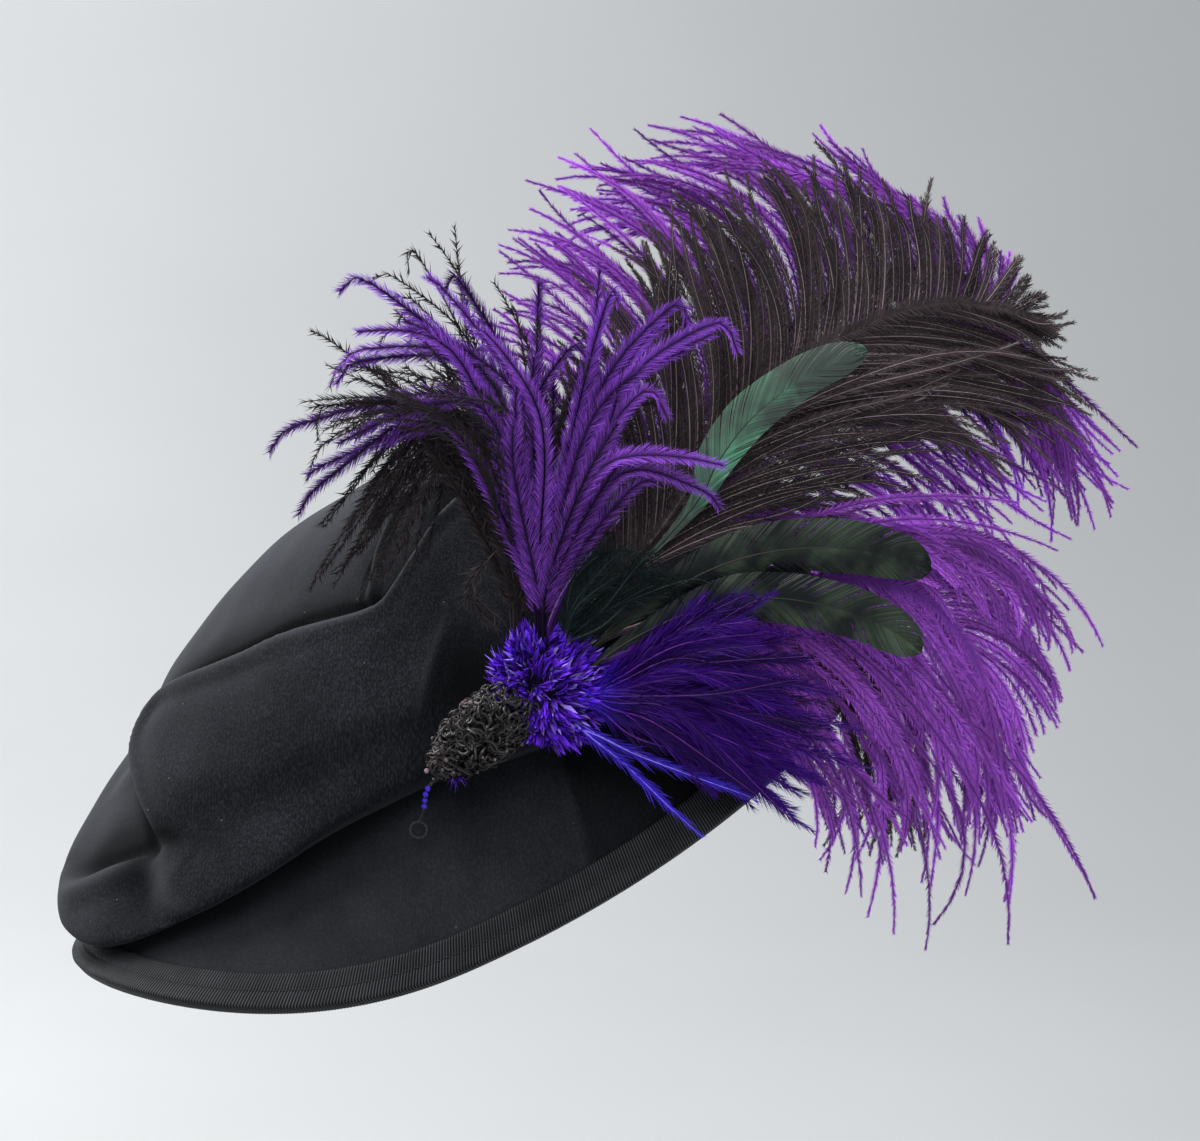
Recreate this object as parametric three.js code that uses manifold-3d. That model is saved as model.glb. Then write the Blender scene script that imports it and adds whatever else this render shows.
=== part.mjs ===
// A draped velvet hat, worn tipped forward, with a spray of plumes pinned on the wearer's left side.
// The crown is a soft hollow drape that spills over the front of a turned-down brim bound in ribbon.
// Frame: millimetres, +Z up the wearer's head, -Y to the front, +X to the wearer's left.
// The origin is the centre of the head opening.
import * as THREE from "three";
import { mergeVertices } from "three/addons/utils/BufferGeometryUtils.js";
import Module from "manifold-3d";

const wasm = await Module();
wasm.setup();

// Driving sizes
const HEAD_LONG = 98; // half the head opening, front to back
const HEAD_WIDE = 84; // half the head opening, side to side
const TIP_FORWARD = 20; // degrees that the hat is worn tipped to the front
const SPRAY_TURN = 50; // degrees from the wearer's left to the plane that the plumes fan out in
const CLOTH = 2.2; // velvet on its soft backing
const BRIM_THICK = 2.6; // velvet on both sides of a stiff core
const GAP = 0.4; // clearance between pieces that touch on the real hat
const SLIVER = 0.04; // edges shorter than this are closed up after a join or a cut

const rad = THREE.MathUtils.degToRad;
const v3 = (x, y, z) => new THREE.Vector3(x, y, z);

// Colours of the real materials
const VELVET = { color: 0x17181b, roughness: 0.9, metalness: 0 };
const RIBBON = { color: 0x24252b, roughness: 0.7, metalness: 0 };

// The brim, a row for each bearing round the head: its width and how steeply it turns down
const BRIM = [
  { bearing: "front", width: 86, droop: 19 },
  { bearing: "front_left", width: 55, droop: 50 },
  { bearing: "left", width: 42, droop: 37 },
  { bearing: "back_left", width: 35, droop: 42 },
  { bearing: "back", width: 28, droop: 45 },
  { bearing: "back_right", width: 35, droop: 42 },
  { bearing: "right", width: 45, droop: 38 },
  { bearing: "front_right", width: 72, droop: 42 },
];

// The drape of the crown, a row for each level from its hem to its top. Reach is measured from the
// head's axis, rise from the plane of the opening. Spill and drop carry the front out over the brim.
// Sink is how much lower the back lies.
const DRAPE = [
  { level: "hem", front: 98, side: 84, back: 98, rise: 1.8, spill: 0, drop: 0, sink: 0 },
  { level: "under", front: 99, side: 85, back: 99, rise: 3.2, spill: 32, drop: 11.9, sink: 0 },
  { level: "rest", front: 101, side: 88, back: 101, rise: 6, spill: 60, drop: 24, sink: 0 },
  { level: "hang", front: 104, side: 92, back: 103, rise: 13, spill: 73, drop: 31.5, sink: 2 },
  { level: "swell", front: 103, side: 95, back: 104, rise: 23, spill: 41, drop: 23, sink: 4 },
  { level: "belly", front: 99, side: 93, back: 100, rise: 34, spill: 30, drop: 16, sink: 9 },
  { level: "shoulder", front: 82, side: 80, back: 86, rise: 47, spill: 15, drop: 10, sink: 11 },
  { level: "upper", front: 57, side: 56, back: 60, rise: 59, spill: 5, drop: 4, sink: 11 },
  { level: "top", front: 29, side: 29, back: 30, rise: 66.5, spill: 0, drop: 0, sink: 5 },
  { level: "crest", front: 0, side: 0, back: 0, rise: 68.5, spill: 0, drop: 0, sink: 0 },
];
const SPILL = { middle: -8, left: 26, right: 40 }; // degrees: its bearing, and its spread on each side

// The folds of the drape. Each runs through its points, given as a bearing in degrees from the front
// toward the wearer's left and a level from the hem, 0, to the top, 1. It stands up by its height,
// falls away steeply over one width on the far side and gently over the other on the near side.
const FOLDS = [
  {
    name: "near panel, front edge",
    height: 5.5,
    steep: 4,
    gentle: 20,
    points: [
      { bearing: 6, level: 0.34 },
      { bearing: 2, level: 0.38 },
      { bearing: -5, level: 0.45 },
      { bearing: -13, level: 0.505 },
      { bearing: -21, level: 0.54 },
      { bearing: -23, level: 0.6 },
      { bearing: -12, level: 0.665 },
      { bearing: 2, level: 0.705 },
      { bearing: 26, level: 0.715 },
    ],
  },
  {
    name: "near panel, top edge",
    height: 6,
    steep: 4.5,
    gentle: 18,
    points: [
      { bearing: 26, level: 0.715 },
      { bearing: 29, level: 0.745 },
      { bearing: 33, level: 0.785 },
      { bearing: 42, level: 0.85 },
      { bearing: 70, level: 0.9 },
      { bearing: 110, level: 0.915 },
    ],
  },
  {
    name: "second fold",
    height: 4,
    steep: 4,
    gentle: 7,
    points: [
      { bearing: 21, level: 0.73 },
      { bearing: 18, level: 0.77 },
      { bearing: 15, level: 0.83 },
      { bearing: 18, level: 0.9 },
      { bearing: 60, level: 0.95 },
    ],
  },
  {
    name: "front layer",
    height: 3,
    steep: 6,
    gentle: 10,
    points: [
      { bearing: -16, level: 0.36 },
      { bearing: -6, level: 0.415 },
      { bearing: 1, level: 0.41 },
    ],
  },
];

// Catmull-Rom curve through four values
function smooth(a, b, c, d, t) {
  const slope = c - a;
  const bend = 2 * a - 5 * b + 4 * c - d;
  const twist = 3 * (b - c) + d - a;
  return b + 0.5 * t * (slope + t * (bend + t * twist));
}

// A column of a table whose rows lie evenly round the head
function round(table, column, angle) {
  const count = table.length;
  const place = ((angle / (2 * Math.PI)) * count + count) % count;
  const row = Math.floor(place);
  const at = (step) => table[(row + step + count) % count][column];
  return smooth(at(-1), at(0), at(1), at(2), place - row);
}

// A column of a table whose rows run from one end to the other
function along(table, column, share) {
  const last = table.length - 1;
  const place = Math.min(share, 1) * last;
  const row = Math.min(Math.floor(place), last - 1);
  const at = (step) => table[Math.max(0, Math.min(last, row + step))][column];
  return smooth(at(-1), at(0), at(1), at(2), place - row);
}

const headLine = (angle) => HEAD_LONG * Math.cos(angle) ** 2 + HEAD_WIDE * Math.sin(angle) ** 2;
const outward = (angle, reach, rise) => v3(reach * Math.sin(angle), -reach * Math.cos(angle), rise);

// A closed solid from a grid of points: rings that run round, each a closed section
function ringSolid(turns, sectionAt) {
  const sections = Array.from({ length: turns }, (_, i) => sectionAt((i / turns) * 2 * Math.PI));
  const size = sections[0].length;
  const indices = [];
  for (let i = 0; i < turns; i++) {
    const next = (i + 1) % turns;
    for (let j = 0; j < size; j++) {
      const beside = (j + 1) % size;
      const [a, b, c, d] = [i * size + j, i * size + beside, next * size + beside, next * size + j];
      indices.push(a, b, c, a, c, d);
    }
  }
  return solidOf(sections.flat(), indices);
}

// Points and triangles as a solid, with the faces turned outward and doubled points merged
function solidOf(points, indices) {
  const geometry = new THREE.BufferGeometry().setFromPoints(points).setIndex(indices);
  const merged = mergeVertices(geometry, 1e-4);
  const triangles = [];
  for (let i = 0; i < merged.index.count; i += 3) {
    const [a, b, c] = [0, 1, 2].map((k) => merged.index.getX(i + k));
    if (a !== b && b !== c && c !== a) triangles.push(a, b, c);
  }
  const made = new wasm.Manifold(
    new wasm.Mesh({
      numProp: 3,
      vertProperties: merged.attributes.position.array,
      triVerts: new Uint32Array(triangles),
    }),
  );
  if (made.volume() > 0) return made;
  for (let i = 0; i < triangles.length; i += 3) {
    [triangles[i + 1], triangles[i + 2]] = [triangles[i + 2], triangles[i + 1]];
  }
  return new wasm.Manifold(
    new wasm.Mesh({
      numProp: 3,
      vertProperties: merged.attributes.position.array,
      triVerts: new Uint32Array(triangles),
    }),
  );
}

// A named mesh from a solid
function piece(name, solid, look) {
  const mesh = solid.getMesh();
  const geometry = new THREE.BufferGeometry();
  geometry.setAttribute("position", new THREE.Float32BufferAttribute(mesh.vertProperties, 3));
  geometry.setIndex(new THREE.BufferAttribute(mesh.triVerts, 1));
  geometry.computeVertexNormals();
  const made = new THREE.Mesh(geometry, new THREE.MeshStandardMaterial(look));
  made.name = name;
  return made;
}

// Brim, and the ribbon folded over its edge
const BINDING = { wide: 11, thick: 0.9 };
const BRIM_TURNS = 54;
const BRIM_TUCK = 7; // of the brim runs in under the crown's hem

function brimPoint(angle, share, lift) {
  const width = round(BRIM, "width", angle);
  const droop = rad(round(BRIM, "droop", angle));
  const out = share * width;
  const reach = headLine(angle) + out * Math.cos(droop) + lift * Math.sin(droop);
  return outward(angle, reach, -out * Math.sin(droop) + lift * Math.cos(droop));
}

function brimSection(angle) {
  const width = round(BRIM, "width", angle);
  const bound = 1 - BINDING.wide / width;
  const shares = [-BRIM_TUCK / width, bound * 0.35, bound, 1];
  const top = shares.map((share) => brimPoint(angle, share, 0));
  const under = shares.map((share) => brimPoint(angle, share, -BRIM_THICK)).reverse();
  return [...top, ...under];
}

function bindingSection(angle) {
  const width = round(BRIM, "width", angle);
  const edge = 1 + (GAP + BINDING.thick) / width;
  const inside = 1 + GAP / width;
  const start = 1 - BINDING.wide / width;
  const above = GAP + BINDING.thick;
  const below = -BRIM_THICK - GAP - BINDING.thick;
  return [
    brimPoint(angle, start, GAP),
    brimPoint(angle, inside, GAP),
    brimPoint(angle, inside, -BRIM_THICK - GAP),
    brimPoint(angle, start, -BRIM_THICK - GAP),
    brimPoint(angle, start, below),
    brimPoint(angle, edge, below + 0.6),
    brimPoint(angle, edge, above - 0.6),
    brimPoint(angle, start, above),
  ];
}

// Crown
const CROWN_TURNS = 46;
const CROWN_LEVELS = 18;
const PER_DEGREE = 1.7; // mm of cloth for a degree of bearing, where the folds lie
const PER_LEVEL = 190; // mm of cloth from the hem to the top

function spillAt(angle) {
  const off = THREE.MathUtils.euclideanModulo(angle - rad(SPILL.middle) + Math.PI, 2 * Math.PI) - Math.PI;
  const spread = rad(off > 0 ? SPILL.left : SPILL.right);
  return Math.exp(-((off / spread) ** 2));
}

function crownPoint(angle, share) {
  const ahead = Math.cos(angle) ** 2;
  const end = Math.cos(angle) > 0 ? "front" : "back";
  const spill = spillAt(angle);
  const level = (column) => along(DRAPE, column, share);
  const reach = ahead * level(end) + (1 - ahead) * level("side") + spill * level("spill");
  const sunk = level("sink") * (1 - Math.cos(angle)) * 0.5;
  return outward(angle, Math.max(reach, 0), level("rise") - spill * level("drop") - sunk);
}

function crownNormal(angle, share) {
  const low = Math.max(0, share - 0.01);
  const high = Math.min(0.99, share + 0.01);
  const middle = Math.min(share, 0.985);
  const up = crownPoint(angle, high).sub(crownPoint(angle, low));
  const across = crownPoint(angle + 0.01, middle).sub(crownPoint(angle - 0.01, middle));
  return across.cross(up).normalize();
}

// How far the folds raise the cloth at one place
function foldLift(angle, share) {
  const bearing = THREE.MathUtils.euclideanModulo(THREE.MathUtils.radToDeg(angle) + 180, 360) - 180;
  const here = new THREE.Vector2(bearing * PER_DEGREE, share * PER_LEVEL);
  return Math.max(...FOLDS.map((fold) => fold.height * foldShape(fold, here)));
}

function foldShape(fold, here) {
  const path = fold.points.map((row) => new THREE.Vector2(row.bearing * PER_DEGREE, row.level * PER_LEVEL));
  let nearest = { gap: Infinity, side: 1 };
  for (let i = 0; i + 1 < path.length; i++) {
    const run = path[i + 1].clone().sub(path[i]);
    const from = here.clone().sub(path[i]);
    const share = THREE.MathUtils.clamp(from.dot(run) / run.lengthSq(), 0, 1);
    const gap = from.clone().addScaledVector(run, -share).length();
    if (gap < nearest.gap) nearest = { gap, side: run.cross(from) };
  }
  const width = nearest.side > 0 ? fold.steep : fold.gentle;
  return Math.exp(-((nearest.gap / width) ** 2));
}

function crownSurface(angle, share, lift) {
  if (share > 0.999) return v3(0, 0, along(DRAPE, "rise", 1) + lift);
  return crownPoint(angle, share).addScaledVector(crownNormal(angle, share), lift + foldLift(angle, share));
}

// Turns lie closer together over the front and the wearer's left, where the folds are
function crownAngle(turn) {
  return turn - 0.45 * Math.sin(turn - rad(15));
}

const CROWN_SHARES = Array.from({ length: CROWN_LEVELS + 1 }, (_, i) => i / CROWN_LEVELS);

function crownSection(turn) {
  const angle = crownAngle(turn);
  const outer = CROWN_SHARES.map((share) => crownSurface(angle, share, 0));
  const inner = CROWN_SHARES.map((share) => crownSurface(angle, share, -CLOTH)).reverse();
  return [...outer, ...inner];
}

// The room that the crown and the brim take up, with the gap that other pieces keep from them
function crownRoom(turn) {
  const angle = crownAngle(turn);
  return [...CROWN_SHARES.map((share) => crownSurface(angle, share, GAP)), v3(0, 0, 1.5)];
}

function brimRoom(angle) {
  const width = round(BRIM, "width", angle);
  const edge = 1 + (2 * GAP + BINDING.thick) / width;
  const clear = 2 * GAP + BINDING.thick;
  return [
    brimPoint(angle, -BRIM_TUCK / width, GAP),
    brimPoint(angle, (1 - (BINDING.wide + GAP) / width) * 0.35, GAP),
    brimPoint(angle, 1 - (BINDING.wide + GAP) / width, GAP),
    brimPoint(angle, 1 - (BINDING.wide + GAP) / width, clear),
    brimPoint(angle, edge, clear),
    brimPoint(angle, edge, -BRIM_THICK - clear),
    brimPoint(angle, -BRIM_TUCK / width, -BRIM_THICK - clear),
  ];
}

// Trim. Its tables are in the plane that the plumes fan out in: right, up, and away from the front
// of the spray. The group that holds it is turned into the hat's frame.
const PAD = { right: 10.7, up: 6.8, away: -103, wide: 39, tall: 40, deep: 18, slope: 0 };
const GIMP = { right: -8.5, up: -6, away: -103.5, wide: 43, tall: 21, deep: 13, slope: 39 };

const BLACK = { color: 0x3a3431, roughness: 0.85, metalness: 0 };
const PURPLE = { color: 0x5a2a9a, roughness: 0.8, metalness: 0 };
const VIOLET = { color: 0x3a1fd0, roughness: 0.8, metalness: 0 };
const COQUE = { color: 0x1c2626, roughness: 0.45, metalness: 0 };
const IRIDESCENT = { color: 0x4f8a70, roughness: 0.4, metalness: 0 };
const THREAD = { color: 0x141416, roughness: 0.7, metalness: 0 };

// Each plume: its rib from the pad outward, the bare share of it, and the vanes above and below the
// rib. A lock leaves the rib at the angle lead and ends at the angle trail, both in degrees up from the
// right, and its tip lies further away by its column back. Rows stand at a share of the rib's length.
const PLUMES = [
  {
    name: "plume_black",
    look: BLACK,
    stem: 1.3,
    rib: [
      { right: 13.9, up: 13.8, away: -101 },
      { right: 28.8, up: 35.9, away: -95 },
      { right: 44.9, up: 53.0, away: -91 },
      { right: 58.5, up: 72.7, away: -87 },
      { right: 72.5, up: 90.3, away: -83 },
      { right: 92.2, up: 107.9, away: -80 },
      { right: 109.8, up: 116.5, away: -79 },
      { right: 121.5, up: 121.5, away: -79 },
      { right: 133.5, up: 123.7, away: -79 },
      { right: 148.0, up: 122.8, away: -80 },
      { right: 158.8, up: 120.8, away: -81 },
    ],
    bare: 0.12,
    locks: 13,
    vanes: [
      [
        { at: 0.12, lead: 90, trail: 118, length: 82, back: 4 },
        { at: 0.3, lead: 84, trail: 122, length: 88, back: 5 },
        { at: 0.45, lead: 80, trail: 124, length: 84, back: 6 },
        { at: 0.58, lead: 76, trail: 124, length: 70, back: 6 },
        { at: 0.7, lead: 80, trail: 118, length: 55, back: 6 },
        { at: 0.8, lead: 82, trail: 118, length: 44, back: 6 },
        { at: 0.88, lead: 76, trail: 104, length: 28, back: 5 },
        { at: 1, lead: 20, trail: 20, length: 8, back: 3 },
      ],
      [
        { at: 0.12, lead: 36, trail: 10, length: 86, back: 2 },
        { at: 0.3, lead: 40, trail: -12, length: 102, back: 2 },
        { at: 0.45, lead: 32, trail: -26, length: 108, back: 3 },
        { at: 0.58, lead: 20, trail: -34, length: 104, back: 4 },
        { at: 0.7, lead: 6, trail: -32, length: 84, back: 4 },
        { at: 0.8, lead: -4, trail: -24, length: 58, back: 4 },
        { at: 0.88, lead: -14, trail: -18, length: 38, back: 3 },
        { at: 1, lead: -30, trail: -30, length: 12, back: 2 },
      ],
    ],
  },
  {
    name: "plume_purple_upper",
    look: PURPLE,
    stem: 1.3,
    rib: [
      { right: 9.0, up: 15.2, away: -101 },
      { right: 17.5, up: 35.7, away: -90 },
      { right: 40.1, up: 62.0, away: -77 },
      { right: 58.8, up: 86.1, away: -70 },
      { right: 80.7, up: 107.6, away: -66 },
      { right: 103.5, up: 125.3, away: -64 },
      { right: 126.3, up: 133.1, away: -64 },
      { right: 143.0, up: 129.1, away: -65 },
      { right: 153.5, up: 115.3, away: -67 },
    ],
    bare: 0.26,
    locks: 9,
    vanes: [
      [
        { at: 0.26, lead: 96, trail: 148, length: 92, back: 4 },
        { at: 0.45, lead: 94, trail: 160, length: 94, back: 4 },
        { at: 0.62, lead: 92, trail: 184, length: 99, back: 4 },
        { at: 0.78, lead: 102, trail: 184, length: 80, back: 4 },
        { at: 0.9, lead: 112, trail: 168, length: 44, back: 3 },
        { at: 1, lead: 60, trail: 60, length: 12, back: 2 },
      ],
      [
        { at: 0.26, lead: 12, trail: -20, length: 60, back: 2 },
        { at: 0.4, lead: 0, trail: -40, length: 88, back: 2 },
        { at: 0.6, lead: -2, trail: -52, length: 108, back: 2 },
        { at: 0.75, lead: -14, trail: -66, length: 112, back: 2 },
        { at: 0.88, lead: -44, trail: -72, length: 94, back: 2 },
        { at: 1, lead: -74, trail: -80, length: 52, back: 2 },
      ],
    ],
  },
  {
    name: "plume_purple_lower",
    look: PURPLE,
    stem: 1.3,
    rib: [
      { right: 16.3, up: 9.6, away: -101 },
      { right: 35.3, up: 16.6, away: -97 },
      { right: 58.5, up: 27.0, away: -94 },
      { right: 84.4, up: 36.0, away: -91 },
      { right: 107.3, up: 39.1, away: -89 },
      { right: 126.1, up: 33.8, away: -88 },
      { right: 140.2, up: 20.4, away: -87 },
      { right: 147.8, up: 4.6, away: -88 },
    ],
    bare: 0.14,
    locks: 11,
    vanes: [
      [
        { at: 0.14, lead: 60, trail: 10, length: 30, back: 1 },
        { at: 0.3, lead: 56, trail: -34, length: 84, back: 2 },
        { at: 0.5, lead: 50, trail: -58, length: 84, back: 2 },
        { at: 0.7, lead: 36, trail: -72, length: 72, back: 2 },
        { at: 0.85, lead: -4, trail: -76, length: 50, back: 2 },
        { at: 1, lead: -56, trail: -80, length: 30, back: 2 },
      ],
      [
        { at: 0.14, lead: -18, trail: -62, length: 84, back: 0 },
        { at: 0.32, lead: -22, trail: -84, length: 118, back: 2 },
        { at: 0.5, lead: -30, trail: -86, length: 112, back: 3 },
        { at: 0.65, lead: -42, trail: -88, length: 98, back: 3 },
        { at: 0.8, lead: -62, trail: -86, length: 84, back: 3 },
        { at: 1, lead: -80, trail: -88, length: 46, back: 2 },
      ],
    ],
  },
  {
    name: "plume_black_lower",
    look: BLACK,
    stem: 1.1,
    rib: [
      { right: 17, up: 14.7, away: -101 },
      { right: 31.7, up: 21.5, away: -91.5 },
      { right: 58.8, up: 27.3, away: -82 },
      { right: 90.2, up: 26.4, away: -78 },
      { right: 115.4, up: 14.7, away: -77 },
      { right: 130.5, up: -4.6, away: -77 },
    ],
    bare: 0.5,
    locks: 5,
    vanes: [
      [
        { at: 0.5, lead: 60, trail: 30, length: 5, back: 0 },
        { at: 1, lead: 30, trail: 0, length: 4, back: 0 },
      ],
      [
        { at: 0.5, lead: -40, trail: -86, length: 92, back: 2 },
        { at: 0.8, lead: -72, trail: -92, length: 74, back: 2 },
        { at: 1, lead: -92, trail: -96, length: 44, back: 2 },
      ],
    ],
  },
];

// Bunches of single strands that leave the pad at one place
const BUNCHES = [
  {
    name: "frond_spray_purple",
    look: PURPLE,
    head: { right: 9.2, up: 23, away: -105.5, size: 3 },
    thick: 2.2,
    strands: [
      { midRight: -2.8, midUp: 96.9, right: -41.4, up: 132.1, away: 4, wide: 7 },
      { midRight: 4.8, midUp: 96.9, right: -15.1, up: 133.2, away: 5, wide: 7 },
      { midRight: -11.9, midUp: 97.0, right: -62.5, up: 89.7, away: 3, wide: 7 },
      { midRight: -8.8, midUp: 106.1, right: -43.5, up: 112.2, away: 5, wide: 7 },
      { midRight: -18.0, midUp: 94.0, right: -56.0, up: 72.2, away: 3, wide: 6 },
      { midRight: 8.3, midUp: 94.9, right: 9.0, up: 131.3, away: 5, wide: 9 },
      { midRight: 23.0, midUp: 103.1, right: 30.9, up: 129.8, away: 3, wide: 7 },
      { midRight: 27.6, midUp: 100.1, right: 50.3, up: 126.1, away: 3, wide: 8 },
      { midRight: 30.6, midUp: 97.1, right: 61.5, up: 120.2, away: 2, wide: 8 },
      { midRight: 24.6, midUp: 78.7, right: 40.9, up: 99.8, away: 1, wide: 7 },
      { midRight: 4.8, midUp: 88.0, right: 18.2, up: 112.7, away: 1, wide: 6 },
      { midRight: 20.0, midUp: 60.3, right: 28.8, up: 87.7, away: 0, wide: 10 },
      { midRight: 33.7, midUp: 74.2, right: 57.7, up: 69.9, away: 0, wide: 6 },
      { midRight: 1.7, midUp: 78.7, right: -7.3, up: 100.1, away: 1, wide: 8 },
    ],
  },
  {
    name: "frond_spray_black",
    look: BLACK,
    head: { right: 2.2, up: 21, away: -100.5, size: 2.4 },
    thick: 2,
    strands: [
      { midRight: -12.1, midUp: 108.1, right: -29.8, up: 141.4, away: 14, wide: 6 },
      { midRight: -24.4, midUp: 89.6, right: -49.2, up: 106.9, away: 14, wide: 6 },
      { midRight: -24.4, midUp: 86.7, right: -57.2, up: 45.2, away: 12, wide: 7 },
      { midRight: -18.3, midUp: 83.6, right: -40.2, up: 46.1, away: 12, wide: 7 },
      { midRight: -21.4, midUp: 85.1, right: -47.9, up: 47.8, away: 13, wide: 7 },
      { midRight: -27.5, midUp: 86.6, right: -51.2, up: 63.7, away: 14, wide: 7 },
      { midRight: -9.1, midUp: 95.8, right: -33.8, up: 116.4, away: 15, wide: 7 },
      { midRight: -24.4, midUp: 92.7, right: -55.7, up: 82.3, away: 15, wide: 7 },
      { midRight: -15.3, midUp: 80.6, right: -35.8, up: 45.4, away: 11, wide: 6 },
    ],
  },
  {
    name: "hackle_spray",
    look: VIOLET,
    head: { right: 22, up: 5.5, away: -109, size: 3 },
    thick: 1.8,
    strands: [
      { midRight: 49.0, midUp: 25.4, right: 70.3, up: 36.8, away: 0, wide: 4 },
      { midRight: 52.1, midUp: 21.7, right: 78.0, up: 26.2, away: 0, wide: 5 },
      { midRight: 55.1, midUp: 17.0, right: 85.8, up: 16.8, away: 0, wide: 5 },
      { midRight: 55.2, midUp: 11.7, right: 88.9, up: 4.9, away: 0, wide: 5 },
      { midRight: 55.2, midUp: 6.0, right: 91.5, up: -6.1, away: 0, wide: 5 },
      { midRight: 53.7, midUp: 1.3, right: 89.2, up: -18.7, away: 0, wide: 5 },
      { midRight: 49.1, midUp: -2.1, right: 81.6, up: -26.9, away: 1, wide: 5 },
      { midRight: 46.0, midUp: -3.5, right: 69.2, up: -19.9, away: 1, wide: 4 },
    ],
  },
  {
    name: "spike_hackles",
    look: VIOLET,
    head: { right: 20, up: -3, away: -109, size: 2.2 },
    thick: 1.6,
    strands: [
      { midRight: 36.5, midUp: -16.5, right: 55.3, up: -34.2, away: -3, wide: 3.5 },
      { midRight: 41, midUp: -12.5, right: 70.7, up: -24.0, away: -2, wide: 3.5 },
    ],
  },
  {
    name: "coque_down",
    look: COQUE,
    head: { right: 16.5, up: 19.8, away: -106, size: 2.2 },
    thick: 1.6,
    strands: [
      { midRight: 21, midUp: 38.3, right: 27.4, up: 52, away: 1.2, wide: 7 },
      { midRight: 24.5, midUp: 36.2, right: 35.3, up: 50.6, away: 1.2, wide: 7 },
      { midRight: 26.5, midUp: 34.2, right: 42.3, up: 46.6, away: 1.2, wide: 7 },
      { midRight: 28.6, midUp: 31.5, right: 48.5, up: 40.1, away: 1.2, wide: 7 },
    ],
  },
];

// Single leaf-shaped feathers: the quill from the pad outward, and the width of the vane on each side
const LEAVES = [
  {
    name: "coque_green",
    look: IRIDESCENT,
    quill: [
      { right: 14.5, up: 17.2, away: -103, above: 0.6, below: 0.6 },
      { right: 29.5, up: 36.1, away: -99.5, above: 0.6, below: 0.6 },
      { right: 46.0, up: 51.1, away: -98, above: 1, below: 1 },
      { right: 58.3, up: 65.6, away: -97, above: 3, below: 3 },
      { right: 64, up: 77, away: -96.5, above: 7, below: 5 },
      { right: 74.5, up: 90.6, away: -96, above: 8, below: 6 },
      { right: 89.7, up: 102.3, away: -95, above: 7, below: 6 },
      { right: 108.9, up: 110.7, away: -94, above: 0, below: 0 },
    ],
  },
  {
    name: "coque_upper",
    look: COQUE,
    quill: [
      { right: 16.8, up: 12.5, away: -104, above: 0.6, below: 0.6 },
      { right: 36.7, up: 29.0, away: -101.5, above: 2, below: 2 },
      { right: 58.3, up: 42.3, away: -100.5, above: 7, below: 6 },
      { right: 78, up: 49, away: -100, above: 9, below: 8 },
      { right: 100.0, up: 50.5, away: -99.5, above: 9, below: 8 },
      { right: 118, up: 47.5, away: -99.2, above: 6, below: 6 },
      { right: 129.1, up: 43.2, away: -99, above: 0, below: 0 },
    ],
  },
  {
    name: "coque_lower",
    look: COQUE,
    quill: [
      { right: 21.1, up: 11.5, away: -106, above: 0.5, below: 0.5 },
      { right: 39.9, up: 24.3, away: -105, above: 3, below: 2 },
      { right: 64.4, up: 34.5, away: -104.5, above: 7, below: 6 },
      { right: 84, up: 35.5, away: -104.2, above: 8, below: 8 },
      { right: 105.1, up: 31, away: -104, above: 8, below: 8 },
      { right: 119, up: 24, away: -103.5, above: 5, below: 5 },
      { right: 126.1, up: 18.6, away: -103, above: 0, below: 0 },
    ],
  },
];

const place = (row) => v3(row.right, row.away, row.up);

// Values of a column between rows that carry their own position
function between(rows, at, column) {
  const next = rows.findIndex((row) => row.at >= at);
  if (next < 0) return rows[rows.length - 1][column];
  if (next === 0) return rows[0][column];
  const [a, b] = [rows[next - 1], rows[next]];
  return THREE.MathUtils.lerp(a[column], b[column], (at - a.at) / (b.at - a.at));
}

// A tube of four-sided sections along a curve. Sizes are a half width on each side and a half
// thickness; the last point is the tip.
function blade(points, sizes) {
  const corners = [];
  const indices = [];
  const last = points.length - 1;
  for (let i = 0; i < last; i++) {
    const ahead = points[Math.min(i + 1, last)].clone().sub(points[Math.max(i - 1, 0)]);
    const side = v3(-ahead.z, 0, ahead.x).normalize();
    const back = ahead.normalize().cross(side).normalize();
    const { above, below, thick } = sizes[i];
    corners.push(points[i].clone().addScaledVector(side, above));
    corners.push(points[i].clone().addScaledVector(back, thick));
    corners.push(points[i].clone().addScaledVector(side, -below));
    corners.push(points[i].clone().addScaledVector(back, -thick));
  }
  corners.push(points[last].clone());
  for (let i = 0; i + 1 < last; i++) {
    for (let j = 0; j < 4; j++) {
      const [a, b] = [i * 4 + j, i * 4 + ((j + 1) % 4)];
      indices.push(a, b, b + 4, a, b + 4, a + 4);
    }
  }
  indices.push(0, 2, 1, 0, 3, 2);
  const end = (last - 1) * 4;
  for (let j = 0; j < 4; j++) indices.push(end + j, end + ((j + 1) % 4), last * 4);
  return solidOf(corners, indices);
}

// A closed solid lofted through sections, each a front row of points and then the same row behind
function loftSolid(sections) {
  const size = sections[0].length;
  const half = size / 2;
  const indices = [];
  for (let i = 0; i + 1 < sections.length; i++) {
    for (let j = 0; j < size; j++) {
      const beside = (j + 1) % size;
      const [a, b, c, d] = [i * size + j, i * size + beside, (i + 1) * size + beside, (i + 1) * size + j];
      indices.push(a, b, c, a, c, d);
    }
  }
  const end = (sections.length - 1) * size;
  for (let j = 0; j + 1 < half; j++) {
    const [a, b, c, d] = [j, j + 1, size - 2 - j, size - 1 - j];
    indices.push(a, c, b, a, d, c);
    indices.push(end + a, end + b, end + c, end + a, end + c, end + d);
  }
  return solidOf(sections.flat(), indices);
}

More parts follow.
